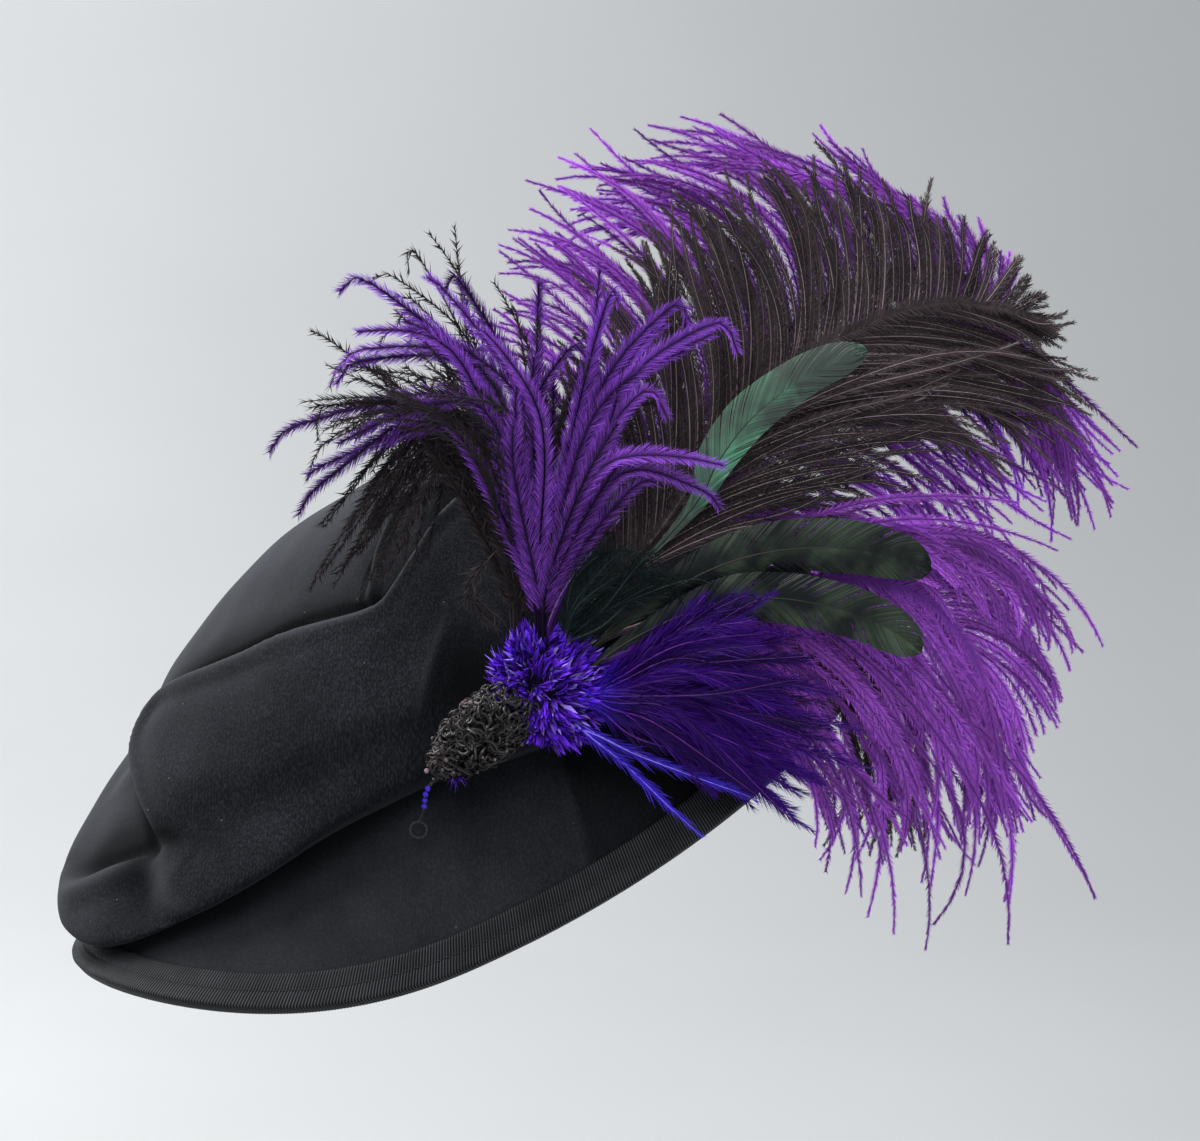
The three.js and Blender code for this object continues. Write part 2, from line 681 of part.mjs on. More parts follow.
// The curve of one lock, as points from the rib to the tip
function lockCurve(start, value, reach, steps) {
  const points = [start];
  const run = (value("length") * reach) / steps;
  for (let i = 0; i < steps; i++) {
    const turned = rad(THREE.MathUtils.lerp(value("lead"), value("trail"), (reach * (i + 0.5)) / steps));
    const step = v3(run * Math.cos(turned), (value("back") * reach) / steps, run * Math.sin(turned));
    points.push(points[i].clone().add(step));
  }
  return points;
}

// A plume: the bare stem, then locks on both sides of the rib that lie against each other for most of
// their length and end in points. Each section runs from tip to tip across the rib.
const VANE_STEPS = 4;

function plume(spec) {
  const curve = new THREE.CatmullRomCurve3(spec.rib.map(place));
  const last = 0.985;
  const stations = [0, 0.33, 0.66].map((share) => share * spec.bare);
  const vaned = spec.locks * 2;
  for (let i = 0; i <= vaned; i++) stations.push(spec.bare + ((last - spec.bare) * i) / vaned);
  const sections = stations.map((at, i) => {
    const bare = i < 3;
    const middle = i % 2 === 0;
    const start = curve.getPointAt(at);
    const tangent = curve.getTangentAt(at);
    const heading = THREE.MathUtils.radToDeg(Math.atan2(tangent.z, tangent.x));
    const [upper, lower] = spec.vanes.map((rows, side) => {
      const across = heading + (side ? -90 : 90);
      const stem = { lead: across, trail: across, length: spec.stem, back: 0 };
      const value = (column) => (bare ? stem[column] : between(rows, at, column));
      return lockCurve(start, value, bare || middle ? 1 : 0.72, VANE_STEPS);
    });
    const row = [...upper.slice(1).reverse(), ...lower];
    const halves = row.map((_, j) => {
      const out = Math.abs(j - VANE_STEPS) / VANE_STEPS;
      return bare ? spec.stem * (1 - 0.6 * out) : (middle ? 1.3 : 0.8) * (1 - 0.75 * out);
    });
    const front = row.map((point, j) => point.clone().add(v3(0, -halves[j], 0)));
    const behind = row.map((point, j) => point.clone().add(v3(0, halves[j], 0)));
    return [...front, ...behind.reverse()];
  });
  return loftSolid(sections);
}

function ballShape(detail) {
  return new THREE.SphereGeometry(1, detail * 2, detail).deleteAttribute("normal").deleteAttribute("uv");
}

function ball(centre, wide, deep, tall, detail) {
  const shape = ballShape(detail).scale(wide / 2, deep / 2, tall / 2);
  return solidFrom(shape.translate(centre.x, centre.y, centre.z));
}

// A unit ball brought to the size, slope and place of a piece of the trim, and grown by a clearance
function sized(shape, size, clear) {
  shape.scale(size.wide / 2 + clear, size.deep / 2 + clear, size.tall / 2 + clear);
  shape.rotateY(rad(-size.slope));
  return solidFrom(shape.translate(size.right, size.away, size.up));
}

function solidFrom(geometry) {
  const points = [];
  const position = geometry.attributes.position;
  for (let i = 0; i < position.count; i++) points.push(new THREE.Vector3().fromBufferAttribute(position, i));
  return solidOf(points, Array.from(geometry.index.array));
}

function bunch(spec) {
  const head = place(spec.head);
  const solids = [ball(head, spec.head.size * 2, spec.head.size * 1.4, spec.head.size * 2, 4)];
  for (const strand of spec.strands) {
    const middle = v3(strand.midRight, spec.head.away + strand.away * 0.6, strand.midUp);
    const tip = v3(strand.right, spec.head.away + strand.away, strand.up);
    const points = new THREE.CatmullRomCurve3([head, middle, tip]).getPoints(3);
    const sizes = [0.12, 1, 0.9].map((share) => {
      return { above: share * strand.wide * 0.5, below: share * strand.wide * 0.5, thick: spec.thick * 0.5 };
    });
    solids.push(blade(points, sizes));
  }
  return wasm.Manifold.union(solids);
}

function leaf(spec) {
  const sizes = spec.quill.map((row) => ({ above: row.above, below: row.below, thick: 0.7 }));
  return blade(spec.quill.map(place), sizes);
}

// The pad of chopped feather tips that every stem is bound into: a low mound with tufts round it
const PAD_TUFTS = 8;

function pad() {
  const shape = ballShape(8);
  const position = shape.attributes.position;
  for (let i = 0; i < position.count; i++) {
    const [x, y, z] = [position.getX(i), position.getY(i), position.getZ(i)];
    const between = 0.5 + 0.5 * Math.cos(PAD_TUFTS * Math.atan2(z, x));
    const kept = 1 - 0.03 * between * Math.hypot(x, z);
    position.setXYZ(i, x * kept, y, z * kept);
  }
  return sized(shape, PAD, 0);
}

function gimp(clear) {
  return sized(ballShape(7), GIMP, clear);
}

// The thread that ends the gimp: a strand of beads, then a loop
const THREAD_PATH = [
  { right: -19, up: -17.5, away: -105 },
  { right: -25.5, up: -24, away: -104.5 },
  { right: -27.0, up: -31.3, away: -102 },
  { right: -28.3, up: -35.5, away: -100.5 },
];

function threadLoop() {
  const path = THREAD_PATH.map(place);
  const sizes = path.map(() => ({ above: 0.6, below: 0.6, thick: 0.6 }));
  const solids = [blade([...path, path[3].clone().add(v3(-0.3, 0.2, -1))], sizes)];
  const ring = new THREE.TorusGeometry(2.6, 0.5, 4, 10).deleteAttribute("normal").deleteAttribute("uv");
  ring.rotateX(Math.PI / 2).translate(-28.9, -99.6, -38.6);
  solids.push(solidFrom(ring));
  for (let i = 0; i < 4; i++) {
    const spot = new THREE.CatmullRomCurve3(path).getPointAt(0.42 + 0.11 * i);
    solids.push(ball(spot, 2.2, 2.2, 2.2, 3));
  }
  return wasm.Manifold.union(solids);
}

// Pieces are cut to lie on the hat, and then on the pad and the gimp, each with its gap
const toSpray = new THREE.Matrix4().makeRotationZ(rad(-SPRAY_TURN));
const tipped = new THREE.Matrix4().makeRotationX(rad(TIP_FORWARD));
const onHat = (solid) => solid.transform(toSpray.clone().multiply(tipped).elements);
const hatRoom = wasm.Manifold.union([
  onHat(ringSolid(CROWN_TURNS, crownRoom)),
  onHat(ringSolid(BRIM_TURNS, brimRoom)),
]);

// The one body that counts, with the slivers of its joins and cuts closed up
function largest(solid) {
  const bodies = solid.simplify(SLIVER).decompose();
  return bodies.sort((a, b) => b.volume() - a.volume())[0];
}

const padRoom = sized(ballShape(8), PAD, GAP);
const padSolid = largest(pad().subtract(hatRoom));
const gimpSolid = largest(gimp(0).subtract(hatRoom.add(padRoom)));
const trimRoom = wasm.Manifold.union([hatRoom, padRoom, gimp(GAP)]);

const hat = new THREE.Group();
hat.rotation.x = rad(TIP_FORWARD);
hat.add(piece("crown", ringSolid(CROWN_TURNS, crownSection), VELVET));
hat.add(piece("brim", ringSolid(BRIM_TURNS, brimSection), VELVET));
hat.add(piece("brim_binding", ringSolid(BRIM_TURNS, bindingSection), RIBBON));

const spray = new THREE.Group();
spray.rotation.z = rad(SPRAY_TURN);
spray.add(piece("feather_pad", padSolid, VIOLET));
spray.add(piece("gimp_wrap", gimpSolid, THREAD));
spray.add(piece("thread_loop", largest(threadLoop().subtract(trimRoom)), THREAD));
for (const spec of PLUMES) {
  spray.add(piece(spec.name, largest(plume(spec).subtract(trimRoom)), spec.look));
}
for (const spec of BUNCHES) {
  spray.add(piece(spec.name, largest(bunch(spec).subtract(trimRoom)), spec.look));
}
for (const spec of LEAVES) {
  spray.add(piece(spec.name, largest(leaf(spec).subtract(trimRoom)), spec.look));
}

const fascinator = new THREE.Group();
fascinator.add(hat, spray);

export default fascinator;
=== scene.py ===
"""A draped velvet hat with a spray of plumes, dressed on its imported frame.

Tables and sizes are in millimetres and degrees. The hat's tables lie in the plane of its head opening,
which is tipped forward, and the spray's tables in the plane that the plumes fan out in.
"""

import math

import bmesh
import bpy
import numpy as np
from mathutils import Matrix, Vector


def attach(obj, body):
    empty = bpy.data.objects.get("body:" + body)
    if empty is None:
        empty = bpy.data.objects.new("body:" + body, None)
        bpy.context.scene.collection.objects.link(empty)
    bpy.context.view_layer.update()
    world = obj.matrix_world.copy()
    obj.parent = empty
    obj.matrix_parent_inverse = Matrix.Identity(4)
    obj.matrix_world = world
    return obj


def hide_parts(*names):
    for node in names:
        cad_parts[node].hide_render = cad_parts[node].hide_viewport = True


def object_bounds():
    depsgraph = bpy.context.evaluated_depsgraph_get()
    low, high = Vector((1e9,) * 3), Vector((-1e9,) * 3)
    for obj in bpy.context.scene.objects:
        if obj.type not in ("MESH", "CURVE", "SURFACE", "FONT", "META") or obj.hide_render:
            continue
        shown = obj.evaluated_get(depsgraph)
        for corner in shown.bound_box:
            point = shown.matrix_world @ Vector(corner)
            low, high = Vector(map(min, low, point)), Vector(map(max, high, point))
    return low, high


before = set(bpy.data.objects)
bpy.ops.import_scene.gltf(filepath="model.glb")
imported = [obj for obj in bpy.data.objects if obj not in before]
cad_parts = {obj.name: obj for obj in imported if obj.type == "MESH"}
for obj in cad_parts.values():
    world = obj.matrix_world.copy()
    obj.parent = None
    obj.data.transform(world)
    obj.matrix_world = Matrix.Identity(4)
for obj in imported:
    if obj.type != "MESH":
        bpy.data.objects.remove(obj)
CAD_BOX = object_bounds()

bl_info = {
    "name": "Draped velvet hat",
    "version": (1, 0, 0),
    "blender": (4, 5, 0),
    "location": "3D View > Sidebar > Draped hat",
    "description": "Dresses the frame of a draped velvet hat with cloth, ribbon and feathers",
    "category": "Add Mesh",
}

MM = 0.001
# Half the length and half the width of the head opening, and how far the hat is tipped to the front
HEAD_LONG = 98.0
HEAD_WIDE = 84.0
TIP_FORWARD = 20.0
# How far the front of the spray is turned to the wearer's left
SPRAY_TURN = 50.0
# The cloth, the brim and how far it runs in under the crown, the ribbon, and the room between pieces
CLOTH = 2.2
BRIM_THICK = 2.6
BRIM_TUCK = 7.0
BINDING_WIDE = 11.0
BINDING_THICK = 0.9
GAP = 0.4
# The map that finishes are baked on, and the three marks that each point carries for its material
BAKE_MAP = "OFBake"
MARKS = "flue"

# The brim at eight bearings round the head, from the front toward the wearer's left
BRIM = {
    "width": [86, 55, 42, 35, 28, 35, 45, 72],
    "droop": [19, 50, 37, 42, 45, 42, 38, 42],
}

# The drape of the crown at ten levels, from its hem to its top: its reach in front, at the side and
# behind, its rise, how far it spills out and drops in front, and how far it sinks behind
DRAPE = {
    "front": [98, 99, 101, 104, 103, 99, 82, 57, 29, 0],
    "side": [84, 85, 88, 92, 95, 93, 80, 56, 29, 0],
    "back": [98, 99, 101, 103, 104, 100, 86, 60, 30, 0],
    "rise": [1.8, 3.2, 6, 13, 23, 34, 47, 59, 66.5, 68.5],
    "spill": [0, 32, 60, 73, 41, 30, 15, 5, 0, 0],
    "drop": [0, 11.9, 24, 31.5, 23, 16, 10, 4, 0, 0],
    "sink": [0, 0, 0, 2, 4, 9, 11, 11, 5, 0],
}
# The bearing where the cloth spills furthest over the brim, and its spread to the left and right
SPILL = {"middle": -8, "left": 26, "right": 40}

# The folds of the drape, each through points of bearing and level, with its width on the steep and on
# the gentle side. Its height and the depth of the groove that it overhangs change along it, and the groove's
# depth also sets how wide and how dark the shade painted in it is.
FOLDS = [
    {
        "name": "near panel",
        "height": [0, 5.5, 6.5, 6, 6, 6.5, 8, 7, 0],
        "steep": 1.8,
        "gentle": 16,
        "groove": [0, 3.4, 4.2, 3.2, 3, 5, 7, 5, 0],
        "points": [(9, 0.31), (2, 0.38), (-5, 0.45), (-13, 0.505), (-21, 0.54), (-23, 0.6), (-12, 0.665),
                   (2, 0.705), (24, 0.715), (29, 0.745), (33, 0.785), (42, 0.85), (70, 0.9), (110, 0.915)],
    },
    {
        "name": "second fold",
        "height": [0, 5.5, 6, 5, 0],
        "steep": 2.0,
        "gentle": 5.5,
        "groove": [0, 3, 3.4, 2.4, 0],
        "points": [(22, 0.722), (18, 0.77), (15, 0.83), (18, 0.9), (60, 0.95)],
    },
    {
        "name": "front layer",
        "height": [1, 5, 5, 2],
        "steep": 2.2,
        "gentle": 8,
        "groove": [0.5, 3.2, 3.6, 1],
        "points": [(-20, 0.345), (-14, 0.37), (-6, 0.415), (1, 0.41)],
    },
    {
        "name": "front layer, upper",
        "height": [0, 1.6, 1.8, 0],
        "steep": 3.2,
        "gentle": 9,
        "groove": [0, 0.8, 0.8, 0],
        "points": [(-30, 0.4), (-26, 0.44), (-23, 0.49), (-22, 0.53)],
    },
    {
        "name": "soft valley by the spray",
        "height": [0, 1.6, 1.6, 0],
        "steep": 5,
        "gentle": 12,
        "groove": [0, 2.6, 2.8, 0],
        "points": [(43, 0.72), (40, 0.65), (37, 0.57), (35, 0.48)],
    },
]
# Millimetres along the cloth for a degree of bearing, and from the lowest level to the top
PER_DEGREE = 1.7
PER_LEVEL = 190.0

# The soft unevenness of cloth: how many waves cross, how much lower and shorter each one is than the
# one before, and the height that they come to together
WAVES = {"number": 7, "lower": 0.8, "shorter": 0.78, "together": 3}

# Where the nap turns on the brim: the seam's bearing at the crown and at the edge, how soft it is, and
# the bearing where the dark side fades out. Painted sheen lies on the brim's top, brightest at one bearing.
NAP = {"crown": 58, "edge": 56, "soft": 1.1, "end": 150, "fade": 40, "dark": 0.62}
# The painted sheen: its least on the brim, how much more at its brightest bearing, and how far it spreads
BRIM_PAINTED_SHEEN = {"least": 0.17, "more": 0.16, "bearing": 12, "spread": 22}

# The ribbon: how high its ribs stand, how far they reach past its edge, and how deep the stitches sit
RIB_HEIGHT = 0.28
PICOT = 0.3
STITCH_DIP = 0.3

# Each plume: its rib as right, up and away, then the vanes above and below it. A barb leaves the rib at
# the angle lead and ends at the angle trail, both up from the right, and its tip lies further away by
# back. Bare is the share of the rib without barbs, and stray how much longer a few of them are.
PLUMES = [
    {
        "name": "black_plume",
        "node": "plume_black",
        "slot": "black_ostrich",
        "seed": 11,
        "bare": 0.12,
        "barbs": 140,
        "barbule": 3.9,
        "stem": 1.25,
        "rib": [(13.9, 13.8, -101), (28.8, 35.9, -95), (44.9, 53.0, -91), (58.5, 72.7, -87),
                (72.5, 90.3, -83), (92.2, 107.9, -80), (109.8, 116.5, -79), (121.5, 121.5, -79),
                (133.5, 123.7, -79), (148.0, 122.8, -80), (158.8, 120.8, -81)],
        "above": {
            "at": [0.12, 0.3, 0.45, 0.58, 0.7, 0.8, 0.88, 1],
            "lead": [90, 84, 80, 76, 80, 82, 76, 20],
            "trail": [118, 122, 124, 124, 118, 118, 104, 20],
            "length": [82, 88, 84, 70, 55, 44, 28, 8],
            "back": [4, 5, 6, 6, 6, 6, 5, 3],
        },
        "below": {
            "at": [0.12, 0.3, 0.45, 0.58, 0.7, 0.8, 0.88, 1],
            "lead": [36, 40, 32, 20, 6, -4, -14, -30],
            "trail": [10, -12, -26, -34, -32, -24, -18, -30],
            "length": [86, 102, 108, 104, 84, 58, 38, 12],
            "back": [2, 2, 3, 4, 4, 4, 3, 2],
        },
    },
    {
        "name": "purple_plume_upper",
        "node": "plume_purple_upper",
        "slot": "purple_ostrich",
        "seed": 12,
        "bare": 0.26,
        "barbs": 124,
        "barbule": 3.8,
        "stem": 1.25,
        "rib": [(9.0, 15.2, -101), (17.5, 35.7, -90), (40.1, 62.0, -77), (58.8, 86.1, -70),
                (80.7, 107.6, -66), (103.5, 125.3, -64), (126.3, 133.1, -64), (143.0, 129.1, -65),
                (153.5, 115.3, -67)],
        "above": {
            "at": [0.26, 0.45, 0.62, 0.78, 0.9, 1],
            "lead": [96, 94, 92, 102, 112, 60],
            "trail": [148, 160, 184, 184, 168, 60],
            "length": [92, 94, 99, 80, 44, 12],
            "back": [4, 4, 4, 4, 3, 2],
        },
        "below": {
            "at": [0.26, 0.4, 0.6, 0.75, 0.88, 1],
            "lead": [0, -8, -8, -16, -44, -74],
            "trail": [-38, -48, -56, -66, -72, -80],
            "length": [112, 114, 112, 112, 94, 52],
            "back": [2, 2, 2, 2, 2, 2],
        },
    },
    {
        "name": "purple_plume_lower",
        "node": "plume_purple_lower",
        "slot": "purple_ostrich",
        "seed": 13,
        "stray": 0.34,
        "bare": 0.14,
        "barbs": 118,
        "barbule": 3.8,
        "stem": 1.25,
        "rib": [(16.3, 9.6, -101), (35.3, 16.6, -97), (58.5, 27.0, -94), (84.4, 36.0, -91),
                (107.3, 39.1, -89), (126.1, 33.8, -88), (140.2, 20.4, -87), (147.8, 4.6, -88)],
        "above": {
            "at": [0.14, 0.3, 0.5, 0.7, 0.85, 1],
            "lead": [60, 56, 50, 36, -4, -56],
            "trail": [4, -34, -58, -72, -76, -80],
            "length": [62, 88, 84, 72, 50, 30],
            "back": [1, 2, 2, 2, 2, 2],
        },
        "below": {
            "at": [0.14, 0.32, 0.5, 0.65, 0.8, 1],
            "lead": [-18, -22, -30, -42, -62, -80],
            "trail": [-62, -84, -86, -88, -86, -88],
            "length": [84, 118, 112, 98, 84, 46],
            "back": [0, 2, 3, 3, 3, 2],
        },
    },
    {
        "name": "black_plume_lower",
        "node": "plume_black_lower",
        "slot": "black_ostrich",
        "seed": 14,
        "bare": 0.5,
        "barbs": 36,
        "barbule": 3.6,
        "stem": 1.1,
        "rib": [(17, 14.7, -101), (31.7, 21.5, -91.5), (58.8, 27.3, -82), (90.2, 26.4, -78),
                (115.4, 14.7, -77), (130.5, -4.6, -77)],
        "above": {
            "at": [0.5, 1],
            "lead": [60, 30],
            "trail": [30, 0],
            "length": [5, 4],
            "back": [0, 0],
        },
        "below": {
            "at": [0.5, 0.8, 1],
            "lead": [-40, -72, -92],
            "trail": [-86, -92, -96],
            "length": [92, 74, 44],
            "back": [2, 2, 2],
        },
    },
]

# Single fronds: where each bunch leaves the pad, then each frond's middle and tip as right and up, and
# how far its tip lies away. Copies scatter round each one. Short is the least share of its full length
# that a barbule has, spread how far it leaves the frond's plane, and loose how far its slant strays.
BUNCHES = [
    {
        "name": "purple_fronds",
        "node": "frond_spray_purple",
        "slot": "purple_ostrich",
        "seed": 21,
        "head": (9.2, 23, -105.5),
        "copies": 3,
        "scatter": 7.0,
        "barbule": 6.6,
        "wide": 0.5,
        "spacing": 0.25,
        "slant": 31,
        "spread": 13,
        "loose": 6,
        "short": 0.76,
        "fronds": [
            (-2.8, 96.9, -41.4, 132.1, 4), (4.8, 96.9, -15.1, 133.2, 5), (-11.9, 97.0, -62.5, 89.7, 3),
            (-8.8, 106.1, -43.5, 112.2, 5), (-18.0, 94.0, -56.0, 72.2, 3), (8.3, 94.9, 9.0, 131.3, 5),
            (23.0, 103.1, 30.9, 129.8, 3), (27.6, 100.1, 50.3, 126.1, 3), (30.6, 97.1, 61.5, 120.2, 2),
            (24.6, 78.7, 40.9, 99.8, 1), (4.8, 88.0, 18.2, 112.7, 1), (20.0, 60.3, 28.8, 87.7, 0),
            (33.7, 74.2, 57.7, 69.9, 0), (1.7, 78.7, -7.3, 100.1, 1),
        ],
    },
    {
        "name": "black_fronds",
        "node": "frond_spray_black",
        "slot": "black_ostrich",
        "seed": 22,
        "head": (2.2, 21, -100.5),
        "copies": 7,
        "scatter": 7.0,
        "barbule": 6.5,
        "wide": 0.75,
        "spacing": 0.55,
        "slant": 20,
        "spread": 34,
        "loose": 14,
        "short": 0.4,
        "hooks": [[(-4, 50, -100.5), (-10.5, 43.3, -102.5), (-12.8, 37.6, -103), (-9.9, 32.4, -102),
                   (-5.1, 27.5, -100.5)]],
        "fronds": [
            (-12.1, 108.1, -29.8, 141.4, 14), (-24.4, 89.6, -49.2, 106.9, 14),
            (-24.4, 86.7, -57.2, 45.2, 12), (-18.3, 83.6, -40.2, 46.1, 12),
            (-21.4, 85.1, -47.9, 47.8, 13), (-27.5, 86.6, -51.2, 63.7, 14),
            (-9.1, 95.8, -33.8, 116.4, 15), (-24.4, 92.7, -55.7, 82.3, 15),
            (-15.3, 80.6, -35.8, 45.4, 11), (6, 92, 2, 124, 0), (16, 90, 24, 112, -1),
            (-6, 90, -26, 118, 4), (24, 78, 42, 96, -1), (12, 60, 34, 82, -2),
            (-9, 84, -40, 92, -9), (-14, 90, -54, 96, -7), (2, 82, -20, 104, -9),
        ],
    },
]

# Hackles, as the fronds are given
HACKLES = [
    {
        "name": "violet_hackles",
        "node": "hackle_spray",
        "seed": 31,
        "head": (22, 5.5, -109),
        "copies": 9,
        "scatter": 5.5,
        "slant": 11,
        "half_width": 2.4,
        "fronds": [
            (49.0, 25.4, 70.3, 36.8, 0), (52.1, 21.7, 78.0, 26.2, 0), (55.1, 17.0, 85.8, 16.8, 0),
            (55.2, 11.7, 88.9, 4.9, 0), (55.2, 6.0, 91.5, -6.1, 0), (53.7, 1.3, 89.2, -18.7, 0),
            (49.1, -2.1, 81.6, -26.9, 1), (46.0, -3.5, 69.2, -19.9, 1),
        ],
    },
    {
        "name": "violet_spikes",
        "node": "spike_hackles",
        "seed": 32,
        "head": (20, -3, -109),
        "copies": 2,
        "scatter": 0.8,
        "slant": 9,
        "half_width": 1.5,
        "fronds": [(36.5, -16.5, 55.3, -34.2, -3), (41, -12.5, 70.7, -24.0, -2)],
    },
]

# The tuft of down at the foot of the tail feathers
DOWN = {
    "name": "coque_down_tuft",
    "node": "coque_down",
    "slot": "coque",
    "seed": 41,
    "head": (16.5, 19.8, -106),
    "copies": 8,
    "scatter": 4.0,
    "barbule": 7.0,
    "wide": 0.3,
    "spacing": 0.3,
    "slant": 24,
    "spread": 34,
    "loose": 12,
    "short": 0.5,
    "fronds": [
        (21, 38.3, 27.4, 52, 1.2), (24.5, 36.2, 35.3, 50.6, 1.2), (26.5, 34.2, 42.3, 46.6, 1.2),
        (28.6, 31.5, 48.5, 40.1, 1.2),
    ],
}

# Leaf-shaped feathers: right, up and away along the quill, and the vane's width above and below it
LEAVES = [
    {
        "name": "green_coque",
        "node": "coque_green",
        "slot": "coque_green",
        "seed": 51,
        "quill": [(14.5, 17.2, -103, 0.6, 0.6), (29.5, 36.1, -99.5, 0.6, 0.6), (46.0, 51.1, -98, 1, 1),
                  (58.3, 65.6, -97, 3, 3), (64, 77, -96.5, 7, 5), (74.5, 90.6, -96, 8, 6),
                  (89.7, 102.3, -95, 7, 6), (101, 107.6, -94.4, 6, 5),
                  (107.5, 110.2, -94.1, 3, 2.6), (109.5, 110.9, -94, 0, 0)],
    },
    {
        "name": "upper_coque",
        "node": "coque_upper",
        "slot": "coque",
        "seed": 52,
        "quill": [(16.8, 12.5, -104, 0.6, 0.6), (36.7, 29.0, -101.5, 2, 2), (58.3, 42.3, -100.5, 7, 6),
                  (78, 49, -100, 9, 8), (100.0, 50.5, -99.5, 9, 8), (118, 47.5, -99.2, 8, 7),
                  (126.8, 44.2, -99, 4.6, 4.4), (129.4, 43.1, -99, 0, 0)],
    },
    {
        "name": "lower_coque",
        "node": "coque_lower",
        "slot": "coque",
        "seed": 53,
        "quill": [(21.1, 11.5, -106, 0.5, 0.5), (39.9, 24.3, -105, 3, 2), (64.4, 34.5, -104.5, 7, 6),
                  (84, 35.5, -104.2, 8, 8), (105.1, 31, -104, 8, 8), (118, 24.8, -103.5, 7, 7),
                  (124.4, 20, -103, 4.2, 4.2), (126.5, 18.3, -103, 0, 0)],
    },
]

# The trim, as right, up and away: ellipsoids with their slope, the tuft of tips below the gimp, the
# thread, and the ring that ends it
PAD = {"at": (10.7, 6.8, -103), "size": (39, 40, 18), "slope": 0}
GIMP = {"at": (-8.5, -6, -103.5), "size": (43, 21, 13), "slope": 39}
GIMP_LOOPS = {"at": (-6.5, -4.4, -105), "size": (48, 21, 15), "slope": 39}
TUFT = (-17.5, -19, -105.5)
THREAD_PATH = [(-19, -17.5, -105), (-25.5, -24, -104.5), (-27.0, -31.3, -102), (-28.3, -35.5, -100.5)]
THREAD_RING = {"at": (-28.9, -38.6, -99.6), "radius": 2.6}

# Dyed feathers: the codes of a barb's root, tip and spine, how far barbs differ, and their roughness
FLUES = {
    # The chopped tips' dark roots are painted shade among the crowded tips
    "Violet chopped tips": ("12033c", "7c38ff", "b898ff", 0.8, 0.42),
    "Black fronds": ("1d1a1c", "483f44", "2a2526", 0.5, 0.62),
    "Purple fronds": ("220a3e", "a45aea", "1e0c2e", 0.8, 0.62),
    "Bright spike": ("2a16bc", "6444f8", "9c88ff", 0.4, 0.4),
    "Coque down": ("0c1416", "223032", "2a3436", 0.5, 0.62),
}
# The satin hackles have one dye by the pad and another past it, between two distances in metres
HACKLE_DYES = [("1c0c8c", "4c20e0", "5a34e0", 0.6), ("1c0450", "440e8c", "602888", 0.75)]
HACKLE_TURN = (0.016, 0.029)

# Linear colours: the painted shade behind a fold, also the darker side of the brim's nap, lint, the edge and
# quill of a tail feather, jet and paper
SHADE_AND_NAP_DARK = (0.0012, 0.0013, 0.0015)
LINT_PALE = (0.12, 0.12, 0.13)
COQUE_DARK = (0.006, 0.009, 0.01)
COQUE_QUILL = (0.035, 0.03, 0.028)
JET = (0.012, 0.01, 0.014)
PAPER = (0.35, 0.36, 0.37)

# What a fringe of barbules has unless it says otherwise: it starts at the foot of the spine, its slant
# strays by seven degrees, and its tone neither changes along the spine nor takes the spine's colour
FRINGE = {"first": 0.0, "loose": 7, "short": 0.72, "uneven": 0.0, "fade": 0.0}

# The camera, from the spray's own front: what it looks at, its distance, height and lens
CAMERA = {"target": (27.6, 25, 0), "distance": 1300, "elevation": 10.5, "lens": 117, "sensor": 36}
# How far the floor lies below the frame, in metres
FLOOR_DROP = 0.42
# The lights: right, away and up, the place each faces if not the camera's target, its size in metres,
# its power, and its colour
LIGHTS = [
    ("key light", (-800, 100, 1500), None, 1.3, 38, (1.0, 0.99, 0.97)),
    ("front light", (-250, -1200, 1350), None, 1.2, 14, (1.0, 0.99, 0.97)),
    ("fill light", (1200, -900, 500), None, 1.4, 2.5, (0.93, 0.96, 1.0)),
    ("rim light", (-350, 1150, 1000), None, 1.0, 10, (0.96, 0.98, 1.0)),
    ("wall light", (-1700, 1200, 900), (-500, 2000, 0), 1.5, 80, (1.0, 0.99, 0.98)),
]
AMBIENT = "e6ebf0"


def linear(value):
    """One channel of a display colour as a linear one."""
    return value / 12.92 if value <= 0.04045 else ((value + 0.055) / 1.055) ** 2.4


def dye(code):
    """A linear colour from its six-digit code."""
    return tuple(linear(int(code[i:i + 2], 16) / 255) for i in (0, 2, 4))


def shaded(colour, times):
    """A colour so many times as bright, and white at most."""
    return tuple(min(1, channel * times) for channel in colour)


# Points and frames


def hat_points(points):
    """Points of the hat's plane in the part's frame, in metres."""
    tip = math.radians(TIP_FORWARD)
    x, y, z = np.moveaxis(np.asarray(points, float), -1, 0)
    y, z = y * math.cos(tip) - z * math.sin(tip), y * math.sin(tip) + z * math.cos(tip)
    return np.stack([x, y, z], -1) * MM


def spray_points(points):
    """Points of the spray's frame, given as right, away and up, in the part's frame, in metres."""
    turn = math.radians(SPRAY_TURN)
    x, y, z = np.moveaxis(np.asarray(points, float), -1, 0)
    x, y = x * math.cos(turn) - y * math.sin(turn), x * math.sin(turn) + y * math.cos(turn)
    return np.stack([x, y, z], -1) * MM


def spray_order(rows):
    """Rows of right, up and away, and any further columns, put in the order right, away and up."""
    rows = np.asarray(rows, float)
    return np.concatenate([rows[..., [0, 2, 1]], rows[..., 3:]], -1)


def unit(vectors):
    """Vectors of length one."""
    return vectors / np.maximum(np.linalg.norm(vectors, axis=-1, keepdims=True), 1e-9)


def catmull(a, b, c, d, t):
    """The smooth curve through four values."""
    return b + 0.5 * t * ((c - a) + t * ((2 * a - 5 * b + 4 * c - d) + t * (3 * (b - c) + d - a)))


def round_column(column, angle):
    """A column whose rows lie evenly round the head."""
    column = np.asarray(column, float)
    place = np.mod(angle / (2 * np.pi) * len(column), len(column))
    row = np.floor(place).astype(int)
    a, b, c, d = (column[(row + step) % len(column)] for step in (-1, 0, 1, 2))
    return catmull(a, b, c, d, place - row)


